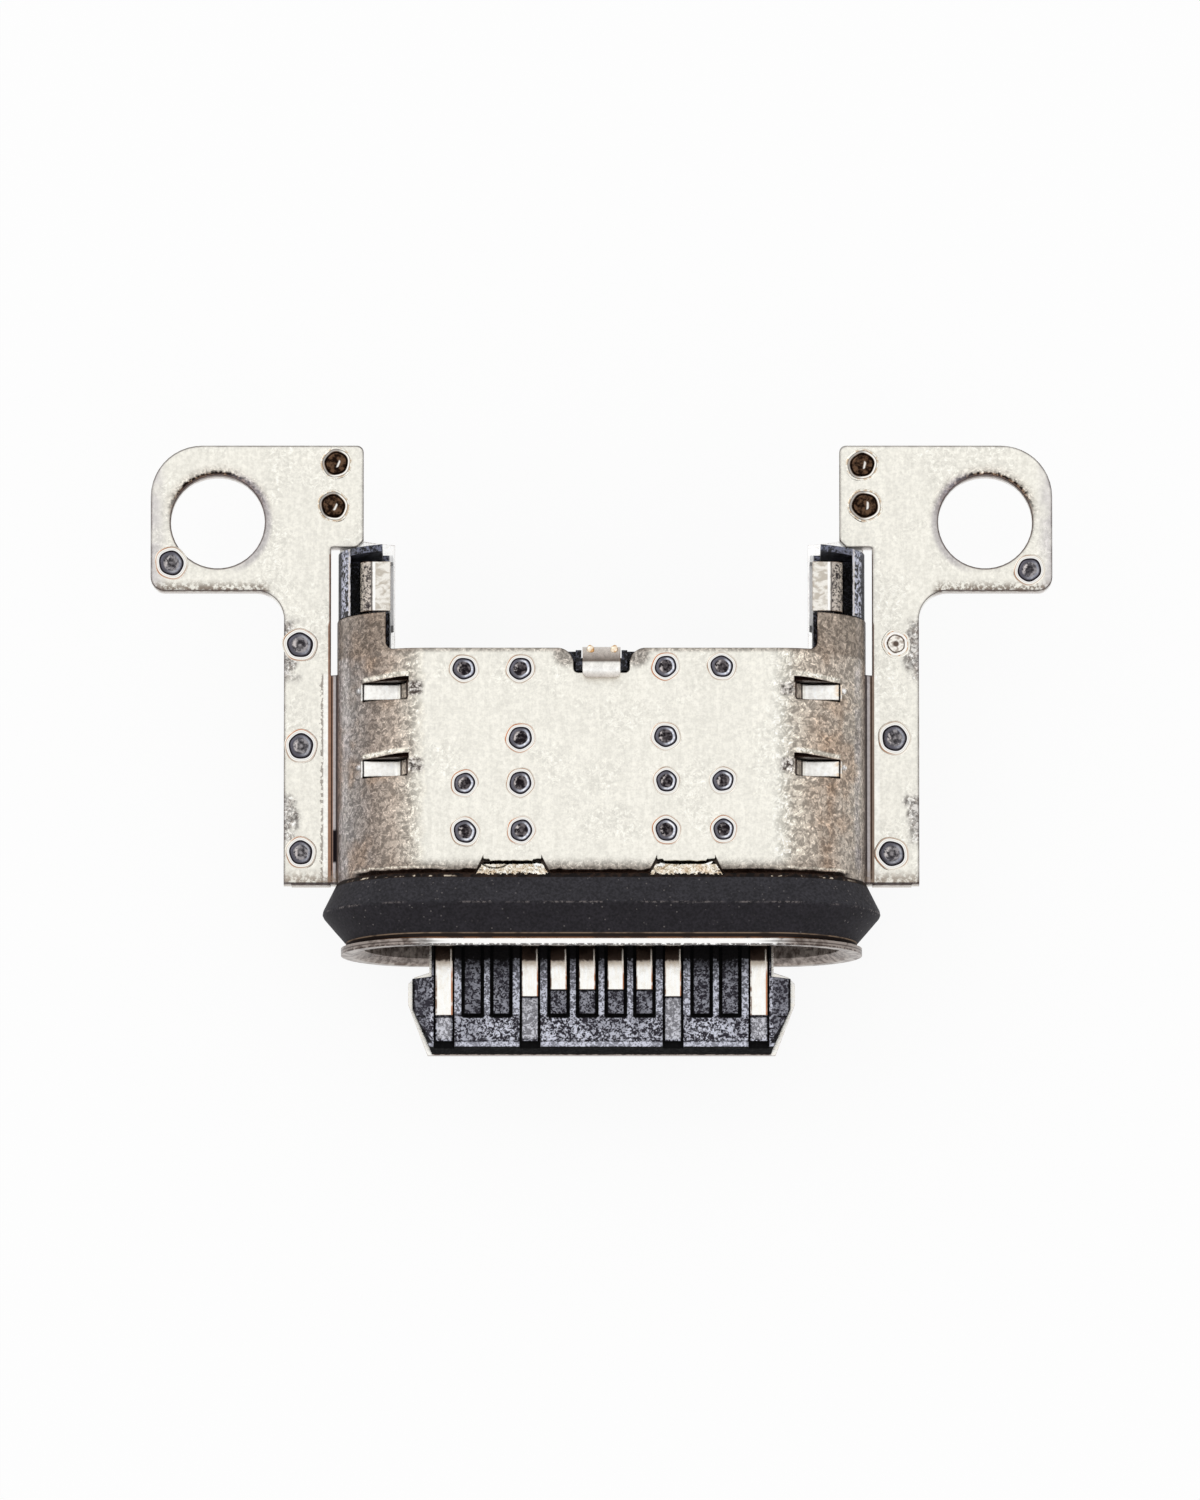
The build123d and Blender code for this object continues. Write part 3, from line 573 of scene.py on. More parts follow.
def bright_nickel():
    """The brighter plating of the lower sheet, its lobes and its crimped tab, with painted shade
    down the rounded sides and on faces turned along Y, and painted light and shade along the tab's
    bends.
    """
    f = Finish("bright_nickel_sheet")
    outward, along, height = f.outward(), f.axis("Y"), f.axis("Z")
    streak = f.noise(14.0, 4.0, stretch=(1.0, 0.35, 1.0), roughness=0.6)
    worm = f.noise(12.0, 3.0, shift=(2, 5, 1), roughness=0.6, warp=1.6)
    blotch = f.noise(3.0, 3.0, shift=(1, 7, 3))
    low = f.span(height, -0.22, -0.32)
    bend = (outward - ROOF_ARC_X) / ROOF_TOP
    drawn = bend * low * f.span(along, COVER_REAR_Y - 0.02, COVER_REAR_Y - 0.12, 0.35, 1.0)
    # Painted shade: the sheet darkens down its rounded sides
    f.colour = f.ramp(
        drawn, (0.0, CREAM), (0.1, "#e2ddd3"), (0.38, "#b8ada2"), (0.62, "#a0958c"),
        (0.85, "#a8a09a"),
    )
    f.lay("#fdfcfa", f.span(along, COVER_REAR_Y + 0.08, COVER_REAR_Y + 0.28))
    tab = f.span(height, 0.9, 1.3) * f.span(outward, TAB_HALF + 0.025, TAB_HALF - 0.025)
    # The tab's step: a painted highlight and painted shade where it bends
    step = f.ramp(
        f.span(along, TAB_FRONT_Y, COVER_REAR_Y + 0.02), (0.0, "#cdc5bc"), (0.14, "#fcfaf6"),
        (0.44, "#f2efe9"), (0.54, "#70665f"), (0.74, "#a09790"), (1.0, "#cec6be"),
    )
    f.lay(step, tab)
    coarse = f.span(drawn, 0.05, 0.3) | tab * 0.3
    scratched = f.span(streak, 0.38, 0.62, f.between(tab, 0.955, 0.85), 1.04)
    f.shade(scratched * (1 - coarse) + f.span(worm, 0.3, 0.7, 0.66, 1.32) * coarse)
    # Painted shade on faces turned along Y
    f.lay("#968070", f.span(f.facing("Y"), 0.8, 0.95) * (1 - tab), 0.5)
    f.lay(BROWN, f.edge(0.05, 0.78, 0.98), f.span(blotch, 0.38, 0.62, 0.2, 0.9), 0.7)
    normal = f.bump(streak + worm, 0.008, 0.6, soften=0.03)
    return f.finish(f.span(worm, 0.2, 0.8, 0.22, 0.36), normal, metallic=1.0)


def drawn_steel():
    """The drawn nose shell: white on the flange's rim as a painted highlight, greyer towards the
    rim's ends as painted shade, brown-grey and brushed in the mouth, with painted shade deep
    inside.
    """
    f = Finish("drawn_shell_steel")
    outward, along, height = f.outward(), f.axis("Y"), f.axis("Z")
    brush = f.noise(13.0, 4.0, stretch=(0.8, 0.5, 1.0), roughness=0.7)
    wear = f.noise(5.0, 3.0, shift=(5, 5, 1), warp=0.8)
    crumbs = f.crumbs(14.0, (2, 6, 6))
    from_end = f.math("MAXIMUM", outward - ROOF_ARC_X, 0.0)
    reach = f.math("SQRT", from_end * from_end + height * height)
    f.colour = f.mix(f.span(brush, 0.36, 0.64), "#70645e", "#baaea6")
    f.lay("#483c36", f.span(wear, 0.5, 0.66, 0.0, 0.6))
    face = f.span(f.facing("Y"), 0.5, 0.9) * f.span(along, 0.05, 0.02)
    face_tone = f.mix(f.span(wear, 0.4, 0.62), "#b0a7a0", "#746862")
    chipped = f.mix(f.span(crumbs, 0.5, 0.58), "#28201d", "#e2dcd6")
    face_tone = f.mix(f.span(height, 1.36, 1.4), face_tone, chipped)
    f.lay(face_tone, face)
    rim = f.product(
        f.span(reach, FLANGE_REACH - 0.015, FLANGE_REACH + 0.015),
        f.span(along, FLANGE_REAR_Y, FLANGE_REAR_Y - 0.01), 1 - face,
    )
    # The rim painted white as a highlight, greyer and darker towards its ends as painted shade
    rim_tone = f.mix(f.span(outward, 2.9, 3.4), "#fbfaf8", "#968c86")
    rim_end_shade = f.span(wear, 0.44, 0.64) * f.span(outward, 2.8, 3.2) * 0.75
    rim_tone = f.mix(rim_end_shade, rim_tone, "#4e443f")
    step = f.window(along, 0.055, 0.075, 0.008) * f.span(outward, 2.6, 3.1)
    rim_tone = f.mix(step * 0.8, rim_tone, "#3a322f")
    fringe = f.span(along, 0.036, 0.02) * f.span(crumbs, 0.42, 0.52)
    rim_tone = f.mix(fringe * 0.85, rim_tone, "#3e3430")
    f.lay(rim_tone, rim)
    # Painted shade deep in the mouth
    f.lay("#2c2420", f.span(along, 1.1, 1.2), 0.9)
    normal = f.bump(brush, 0.01, 0.6, soften=0.02)
    inside = f.span(reach, SHELL_TOP - 0.03, SHELL_TOP - 0.05) * f.span(along, 0.02, 0.05)
    metal = f.between(inside, 1.0, 0.25)
    return f.finish(f.span(brush, 0.2, 0.8, 0.24, 0.4), normal, metallic=metal)


def blanked_steel(name, light, dark):
    """Blanked sheet with a grain, brown-grey where it was sheared off, painted shade on faces that
    don't face up, and browned edges.
    """
    f = Finish(name)
    grain = f.noise(12.0, 4.0, stretch=(0.3, 1.0, 1.0), roughness=0.65)
    crumbs = f.crumbs(14.0, (3, 1, 8))
    f.colour = f.mix(f.span(grain, 0.36, 0.64), dark, light)
    sheared = f.span(f.axis("Y"), -1.62, -1.66) * f.span(f.outward(), 3.0, 2.92)
    f.lay(f.mix(f.span(crumbs, 0.4, 0.6), "#5c504c", "#aa9e96"), sheared)
    # Painted shade on faces that don't face up
    f.lay("#a0968f", f.span(f.facing("Z"), 0.6, 0.3), 0.6)
    f.lay("#805c42", f.edge(0.014, 0.8, 0.98) * f.span(crumbs, 0.4, 0.56, 0.15, 0.8))
    normal = f.bump(grain, 0.006, 0.6, soften=0.012)
    return f.finish(f.span(grain, 0.2, 0.8, 0.2, 0.34), normal, metallic=1.0)


def leg_plating():
    """Tinned solder leg: a bright dented top, a painted highlight along the bend with painted
    shade just past it, and a mottled side where the strip bends down, darkened as painted shade.
    """
    f = Finish("solder_leg_tinned")
    outward = f.outward()
    dents = f.noise(6.0, 3.0, stretch=(1.0, 1.6, 1.0), warp=0.8)
    mottle = f.noise(17.0, 3.0, shift=(4, 4, 4), roughness=0.65, warp=1.0)
    top = f.mix(f.span(dents, 0.42, 0.62), "#f0ece4", "#c4bcb0")
    # The side is mottled, and darker as painted shade where it turns down
    side = f.mix(f.span(mottle, 0.38, 0.6), "#343032", "#c6bcb2")
    turn = f.span(outward, LEG_BEND_X, LEG_BEND_X + 0.04)
    f.colour = f.mix(turn, top, side)
    # A painted highlight along the bend, and painted shade just past it
    f.lay("#fffefc", f.window(outward, LEG_BEND_X - 0.045, LEG_BEND_X - 0.005, 0.012))
    f.lay("#463e40", f.window(outward, LEG_BEND_X + 0.005, LEG_BEND_X + 0.03, 0.01), 0.8)
    f.lay("#8c6e56", f.edge(0.035, 0.8, 0.98), 0.6)
    normal = f.bump(dents + mottle * turn, 0.02, 0.8, soften=0.02)
    return f.finish(f.span(dents, 0.2, 0.8, 0.2, 0.34), normal, metallic=1.0)


def contact_plating():
    """Pale hard plating, faintly drawn along the contact; painted shade in the mouth, but for a
    painted highlight along one edge.
    """
    f = Finish("contact_plating_pale")
    along = f.axis("Y")
    drawn = f.noise(26.0, 4.0, stretch=(1.0, 0.15, 1.0), roughness=0.6)
    patch = f.noise(7.0, 3.0, shift=(2, 8, 3))
    crumbs = f.crumbs(15.0, (6, 1, 3))
    f.colour = f.mix(f.span(drawn, 0.36, 0.64), "#fcf9f2", "#fffffd")
    f.lay("#eee4d2", f.span(patch, 0.5, 0.75, 0.0, 0.3))
    across = f.in_pitch(f.axis("X"))
    fuzzy = f.stray(along, crumbs, 0.1)
    shaded = f.span(fuzzy, -0.155, -0.105)
    edge_highlight = f.window(across, 0.215, 0.262, 0.012) * f.span(along, 0.09, 0.06)
    # Painted shade in the mouth, fading in towards the front
    f.lay("#b0987a", f.span(fuzzy, -0.31, -0.15) * 0.6)
    f.lay("#423731", shaded)
    # A painted highlight along one edge inside the mouth
    f.lay("#fffaf0", f.span(along, -0.26, -0.12), edge_highlight)
    bare = f.span(along, -0.16, -0.42)
    right_edge = f.window(across, 0.24, 0.3, 0.008) * bare * f.span(patch, 0.34, 0.5, 0.4, 0.9)
    f.lay("#b06c3e", right_edge)
    left_edge = f.window(across, -0.3, -0.243, 0.008) * bare * f.span(patch, 0.4, 0.6, 0.2, 0.9)
    f.lay("#705642", left_edge)
    cut = f.span(f.facing("Z"), 0.7, 0.3)
    warm = f.edge(0.02, 0.8, 0.98) * f.span(patch, 0.4, 0.6, 0.2, 0.7)
    warm = warm * (1 - shaded)
    f.lay("#96603a", warm | cut * 0.8)
    normal = f.bump(drawn, 0.005, 0.5, soften=0.02)
    return f.finish(f.span(patch, 0.2, 0.8, 0.16, 0.28), normal, metallic=1.0)


def speckled_skin(f, base, fleck, size, cover):
    """Charcoal with a worm-like blue-grey speckle that stands partly for painted glints, and the
    relief that goes with it.
    """
    lump = f.noise(size, 3.0, roughness=0.6, warp=1.2)
    fine = f.noise(size * 2.1, 2.0, shift=(4, 6, 2), roughness=0.6, warp=1.0)
    both = lump * 0.45 + fine * 0.55
    lit = f.span(both, cover - 0.035, cover + 0.05)
    return f.mix(lit, base, fleck), both, lit


def tongue_plastic():
    """The tongue: glass-filled charcoal, scratched and speckled, with painted highlights on its
    ribs and bevel, and black painted shade in its grooves, recesses and mouth and at the front.
    """
    f = Finish("tongue_plastic_speckled")
    outward, along = f.outward(), f.axis("Y")
    depth = abs(f.axis("Z"))
    f.colour, relief, lit = speckled_skin(f, "#322f36", "#dee0ee", 10.0, 0.505)
    f.lay("#3c3a42", f.span(f.noise(2.5, 2.0, shift=(1, 3, 5)), 0.35, 0.65, 0.4, 0.0))
    column = f.span(abs(f.in_pitch(outward)), 0.37, 0.34)
    behind_front = f.span(along, RECESS_FRONT_Y, RECESS_FRONT_Y + 0.04)
    high = f.span(depth, TONGUE_TOP - 0.025, TONGUE_TOP - 0.015)
    # Painted shade in the recesses
    f.lay("#323037", (1 - high) * behind_front, 0.5)
    # Painted highlights on the ribs
    ribs = high * behind_front * f.span(outward, 2.62, 2.58)
    f.lay("#e2e5f4", ribs, f.between(lit, 0.18, 0.95))
    f.lay("#3e3c44", f.span(outward, 2.97, 3.01), 0.55)
    wide_pads = f.window(outward, 1.1, 1.4, 0.01) * f.window(along, -1.5, -0.8, 0.02)
    long_pads = f.window(outward, 2.62, 2.88, 0.01) * f.window(along, -1.5, -1.13, 0.02)
    f.lay("#e2e2ea", (wide_pads | long_pads) * f.between(lit, 0.3, 0.85))
    # A painted highlight on the bevel, and a black painted shadow line at its foot
    bevel = f.window(along, BEVEL_Y - 0.087, BEVEL_Y - 0.015, 0.006)
    f.lay("#d6d8e6", bevel, f.between(lit, 0.35, 0.8))
    f.lay("#181619", f.window(along, BEVEL_Y - 0.007, BEVEL_Y + 0.007, 0.006), 0.9)
    steep = 1 - f.span(f.facing("Z"), 0.6, 0.8)
    groove = f.span(depth, PAD_TOP - 0.01, PAD_TOP - 0.025) | steep
    crumbs = f.crumbs(15.0, (6, 1, 3))
    fuzzy = f.stray(along, crumbs, 0.25)
    # Painted shade along the edges
    f.lay("#121012", f.edge(0.036, 0.8, 0.98), 0.92 - ribs * 0.75)

    # Painted shadow lines, black: at the front of the short recesses, and at the tips of the
    # contacts
    power = f.window(outward, *POWER_X, 0.01)
    short = 1 - (power | f.span(outward, GROUND_X - 0.01, GROUND_X + 0.01))
    recess_end = f.window(along, RECESS_FRONT_Y - 0.04, RECESS_FRONT_Y + 0.048, 0.008)
    front_line = recess_end * column * short
    signal = f.span(outward, POWER_X[0] + 0.01, POWER_X[0] - 0.01)
    ground = f.span(outward, GROUND_X, GROUND_X + 0.02)
    tips = f.either(
        f.window(along, SIGNAL_TIP_Y - 0.015, SIGNAL_TIP_Y + 0.015, 0.006) * signal,
        f.window(along, POWER_TIP_Y - 0.015, POWER_TIP_Y + 0.015, 0.006) * power,
        f.window(along, GROUND_TIP_Y - 0.016, GROUND_TIP_Y + 0.016, 0.006) * ground,
    )
    f.lay("#0c0b0d", front_line | tips * column * 0.9)
    # Painted shade in the mouth, and black painted shade in the grooves
    f.lay("#110f10", f.span(fuzzy, -0.42, -0.14) * 0.75 | f.span(fuzzy, -0.16, -0.1))
    f.lay("#0b0a0c", groove)
    # A black painted shadow line along the rim of the head
    flank = f.span(along, TONGUE_TIP_Y, TONGUE_HEAD_Y, TONGUE_TIP_HALF, TONGUE_HEAD_HALF)
    inset = flank - f.stray(outward, crumbs, 0.06)
    rim = f.span(inset, 0.05, 0.036) * high * f.span(along, BEVEL_Y - 0.075, BEVEL_Y - 0.055)
    f.lay("#100e0f", rim, 0.92)
    normal = f.bump(relief, 0.018, 0.8, soften=0.01)
    return f.finish(f.between(lit, 0.62, 0.4), normal, Specular_IOR_Level=0.08)


def housing_plastic():
    """The rear housing: black, with torn skin on the walls of the leg trays, and a frosted strip
    along their inner edge painted full white against its shade.
    """
    f = Finish("housing_plastic_black")
    outward, along = f.outward(), f.axis("Y")
    torn, relief, lit = speckled_skin(f, "#18171c", "#ced1e4", 7.0, 0.5)
    tray = f.span(along, TRAY_FRONT_Y - 0.02, TRAY_FRONT_Y + 0.02)
    up = f.span(f.facing("Z"), 0.1, 0.35)
    wall = f.window(outward, TRAY_OUTER_X, TRAY_OUTER_X + 0.165, 0.012) * tray * up
    plain, _, _ = speckled_skin(f, "#121114", "#545662", 11.0, 0.53)
    f.colour = f.mix(wall, plain, torn)
    crumbs = f.crumbs(15.0, (4, 4, 4))
    ragged = f.stray(outward, crumbs, 0.05)
    rim = wall * f.window(ragged, TRAY_OUTER_X + 0.01, TRAY_OUTER_X + 0.038, 0.008)
    f.lay("#e8e2e0", rim, 0.9)
    f.lay("#8c90a6", f.span(along, 6.93, 6.98) * up * f.span(crumbs, 0.46, 0.56), 0.6)
    # The frosted strip, painted full white to stand against the shade it lies in
    f.lay("#ffffff", f.span(outward, TRAY_INNER_X + 0.015, TRAY_INNER_X - 0.02) * tray)
    normal = f.bump(relief, 0.022, 0.8, soften=0.012)
    return f.finish(f.between(lit, 0.5, 0.38), normal, Specular_IOR_Level=0.25)


def moulded_black():
    """Plain black moulding for the wafers, with a fine lumpy skin."""
    f = Finish("wafer_plastic_black")
    f.colour, relief, lit = speckled_skin(f, "#161518", "#42424a", 12.0, 0.53)
    normal = f.bump(relief, 0.015, 0.7, soften=0.012)
    return f.finish(f.between(lit, 0.52, 0.42), normal, Specular_IOR_Level=0.45)


def seal_rubber():
    """Matt silicone, charcoal: darker before its ridge as painted shade, a painted highlight and
    dust along the ridge, brown lines and black painted shadow where metal meets it, and painted
    glints at its rear.
    """
    f = Finish("seal_rubber_matt")
    along = f.axis("Y")
    cloud = f.noise(3.0, 3.0)
    pits = f.noise(20.0, 3.0, roughness=0.7)
    brown = f.noise(9.0, 3.0, shift=(5, 1, 1))
    # Painted shade: darker in front of the ridge, lighter behind it
    f.colour = f.mix(f.span(along, SEAL_RIDGE_Y - 0.05, SEAL_RIDGE_Y + 0.05), "#28262a", "#333236")
    f.shade(f.span(cloud, 0.3, 0.7, 0.88, 1.1))
    f.shade(f.span(pits, 0.36, 0.64, 0.64, 1.36))
    sparse = f.span(f.noise(1.8, 2.0, shift=(7, 2, 3)), 0.42, 0.6)
    # A painted highlight along the ridge, in sparse patches
    ridge = f.product(
        f.window(along, SEAL_RIDGE_Y - 0.01, SEAL_RIDGE_Y + 0.015, 0.015), sparse,
        f.span(pits, 0.44, 0.56),
    )
    f.lay("#7e7674", ridge, 0.75)
    dust = f.cells(9.0) < 0.14
    f.lay("#807a78", dust, f.span(f.noise(1.6, 2.0, shift=(3, 3, 3)), 0.4, 0.56, 0.15, 1.0), 0.45)
    patchy = f.span(f.noise(4.0, 2.0, shift=(2, 2, 9)), 0.35, 0.55, 0.3, 1.0)
    # A black painted shadow just behind the flange
    f.lay("#221a17", f.span(along, FLANGE_REAR_Y + 0.075, FLANGE_REAR_Y + 0.06))
    line = f.window(along, FLANGE_REAR_Y + 0.055, FLANGE_REAR_Y + 0.072, 0.006) * patchy * 0.8
    f.lay("#927c68", line)
    f.lay("#885e40", f.span(along, FLANGE_REAR_Y + 0.002, FLANGE_REAR_Y - 0.01) * patchy)
    # A black painted shadow under the cover's front edge
    root_shadow_tone = f.mix(f.span(brown, 0.4, 0.65), "#120d0c", "#32251e")
    f.lay(root_shadow_tone, f.span(along, COVER_FRONT_Y - 0.085, COVER_FRONT_Y - 0.065))
    # Painted glints along the rear edge
    glints = f.window(f.outward(), 2.6, 4.3, 0.2) * f.span(brown, 0.57, 0.63)
    glints = glints * f.window(along, COVER_FRONT_Y - 0.06, COVER_FRONT_Y - 0.035, 0.008)
    f.lay("#e2d4c0", glints)
    return f.finish(0.66, f.bump(pits, 0.006, 0.5, soften=0.03), Specular_IOR_Level=0.14)


def sealant_resin():
    """Poured resin, dark and a little glossy."""
    f = Finish("sealant_resin_dark")
    cloud = f.noise(2.2, 3.0)
    f.colour = f.mix(f.span(cloud, 0.3, 0.7), "#28262a", "#3c3a3e")
    return f.finish(0.28, f.bump(cloud, 0.05, 0.4))


def weld_metal(name, dish_dark, dish_light, crescent):
    """Spot weld: dish with a painted glint, a crescent painted bright on one side as a highlight,
    black rim, white collar and a broken brown line.
    """
    f = Finish(name)
    reach, lean, turn = f.own("reach"), f.own("lean"), f.own("turn")
    mottle = f.crumbs(13.0)
    seed = f.noise(0.9, 1.0, shift=(5, 3, 0))
    fine = f.noise(26.0, 2.0, shift=(1, 1, 6))
    dark = f.mix(f.span(mottle, 0.4, 0.62), dish_dark, dish_light)
    dark = f.mix(f.window(reach, 0.1, 0.26, 0.05) * 0.6, dark, "#1e1a1c")
    # A painted glint in the dish, on one side as lean says
    glint = f.span(lean, -0.14, -0.3) * f.span(reach, 0.46, 0.36) * f.span(mottle, 0.42, 0.56)
    dark = f.mix(glint * 0.85, dark, "#d6cecc")
    shell = f.mix(f.span(reach, 0.44, 0.5), dark, "#56545c")
    # The crescent is a painted highlight, brightest where lean is high
    bright = f.mix(f.span(fine, 0.4, 0.6), "#c4c8d6", "#f4f6fc")
    arc = f.window(reach, 0.46, 0.585, 0.025) * f.span(lean, -0.2, 0.34, 0.06, 1.0) * crescent
    f.colour = f.mix(arc, shell, bright)
    f.lay("#181314", f.window(reach, 0.645, 0.715, 0.018))
    f.lay("#fffdfa", f.window(reach, 0.74, 0.8, 0.015))
    f.lay("#f7f4ec", f.window(reach, 0.81, 0.9, 0.015))
    around = f.noise(2.2, 2.0, shift=(9, 2, 4))
    strength = f.span(turn, -0.9, 0.7, 1.0, 0.6) * f.span(around, 0.36, 0.56, 0.35, 1.0)
    halo = f.mix(f.span(seed, 0.4, 0.62), "#a08068", "#b87042")
    line = f.window(reach, 0.895, 0.965, 0.016)
    f.colour = f.mix(line * strength, f.mix(f.span(reach, 0.89, 0.92), f.colour, CREAM), halo)
    normal = f.bump(mottle, 0.012, f.span(reach, 0.75, 0.65, 0.1, 0.9))
    return f.finish(f.span(mottle, 0.2, 0.8, 0.18, 0.34), normal, metallic=1.0)


def scorched_metal():
    """A weld burnt brown-black through, with a painted highlight in it, a white ring brighter on
    one side as painted light, and a thin pale collar.
    """
    f = Finish("weld_spot_scorched")
    reach, lean = f.own("reach"), f.own("lean")
    mottle = f.noise(10.0, 3.0, roughness=0.6)
    f.colour = f.mix(f.span(mottle, 0.4, 0.62), "#221915", "#624c3c")
    # A painted highlight, offset to one side as lean says
    f.lay("#faf6f0", f.window(lean, 0.1, 0.2, 0.05) * f.span(reach, 0.3, 0.22))
    f.lay("#140e0c", f.window(reach, 0.6, 0.7, 0.03))
    # A white ring, brighter on one side as painted light
    f.lay("#fcf8f0", f.window(reach, 0.74, 0.84, 0.02), f.span(lean, -0.2, 0.2, 0.4, 1.0))
    f.lay(f.mix(f.span(mottle, 0.44, 0.56), CREAM, "#cebaa2"), f.span(reach, 0.85, 0.89))
    f.lay(CREAM, f.span(reach, 0.95, 0.97))
    return f.finish(0.26, f.bump(mottle, 0.012, 0.8), metallic=1.0)


def bright_weld_metal():
    """The one weld that stayed bright."""
    f = Finish("weld_spot_bright")
    reach = f.own("reach")
    mottle = f.noise(12.0, 3.0, roughness=0.6)
    f.colour = f.mix(f.span(mottle, 0.42, 0.62), "#faf6ee", "#b0a69c")
    f.lay("#60544c", f.span(reach, 0.26, 0.14))
    f.lay("#4a382c", f.window(reach, 0.54, 0.62, 0.03))
    f.lay("#fcfaf6", f.window(reach, 0.66, 0.78, 0.015))
    f.lay(f.mix(f.span(mottle, 0.4, 0.6), "#c4966e", CREAM), f.window(reach, 0.8, 0.87, 0.015))
    f.lay(CREAM, f.span(reach, 0.88, 0.9))
    return f.finish(0.22, f.bump(mottle, 0.012, 0.8), metallic=1.0)


def bead_metal():
    """Rough golden bead metal with dark pits and bright crumbs, melted white at one end, and dark
    as painted shade where it is sunk.
    """
    f = Finish("weld_bead_rough")
    crumbs = f.noise(13.0, 4.0, roughness=0.7, warp=1.2)
    cloud = f.noise(4.0, 2.0, shift=(7, 7, 7))
    f.colour = f.ramp(
        crumbs, (0.3, "#604c3a"), (0.42, "#ccbca4"), (0.5, "#eee6d6"),
        (0.62, "#fffdf8"),
    )
    f.lay("#d6b28a", f.span(cloud, 0.5, 0.7, 0.0, 0.45))
    f.lay("#fffffd", f.span(f.own("melted"), 0.35, 0.6))
    # Painted shade on the sunk crescent and the low rear of the bead
    f.lay("#1a120e", f.own("sunk"))
    return f.finish(0.26, f.bump(crumbs, 0.02, 0.8), metallic=1.0)


def lip_metal():
    """The bright pressed edge behind each bead, with painted shade on its faces that don't face
    up.
    """
    f = Finish("notch_lip_bright")
    f.colour = CREAM
    f.shade(fine_grain(f))
    # Painted shade on faces that don't face up
    f.lay("#1e1612", f.span(f.facing("Z"), 0.8, 0.5))
    return f.finish(0.3, metallic=1.0)


def dress_nodes():
    """Gives each piece of the frame its finish; the ones that aren't listed are contacts."""
    latch = blanked_steel("latch_plate_steel", "#fffefa", "#f8f3ea")
    legs = leg_plating()
    plating = contact_plating()
    wafer = moulded_black()
    finishes = {
        "top_cover": cover_nickel(),
        "under_cover": bright_nickel(),
        "nose_shell": drawn_steel(),
        "seal_ring": seal_rubber(),
        "mid_plate": latch,
        "upper_ground_plate": latch,
        "lower_ground_plate": latch,
        "left_solder_leg": legs,
        "right_solder_leg": legs,
        "tongue_molding": tongue_plastic(),
        "rear_housing": housing_plastic(),
        "upper_wafer": wafer,
        "lower_wafer": wafer,
        "rear_sealant": sealant_resin(),
    }
    for name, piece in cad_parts.items():
        piece.data.materials.clear()
        piece.data.materials.append(finishes.get(name, plating))


def ripple(x, y, cell, seed, waves=18):
    """Even unevenness: a sum of sines over the plane, each about cell long and turned anew."""
    rng = np.random.default_rng(seed)
    turned = rng.uniform(0, TURN, waves)
    pace = TURN / (cell * rng.uniform(0.6, 1.6, waves))
    start = rng.uniform(0, TURN, waves)
    x, y = np.asarray(x)[..., None], np.asarray(y)[..., None]
    waved = np.sin((x * np.cos(turned) + y * np.sin(turned)) * pace + start)
    return waved.sum(-1) / math.sqrt(waves)


def make_piece(name, points, faces, material, numbers=None):
    """A finished piece from points in millimetres, riding on the port's one body."""
    mesh = bpy.data.meshes.new(name)
    mesh.from_pydata((np.asarray(points) * MM).tolist(), [], faces)
    mesh.polygons.foreach_set("use_smooth", np.ones(len(mesh.polygons), dtype=bool))
    for key, values in (numbers or {}).items():
        layer = mesh.attributes.new(key, "FLOAT", "POINT")
        layer.data.foreach_set("value", np.asarray(values, dtype=np.float32))
    mesh.materials.append(material)
    mesh.update()
    piece = bpy.data.objects.new(name, mesh)
    bpy.context.scene.collection.objects.link(piece)
    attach(piece, "root")
    return piece


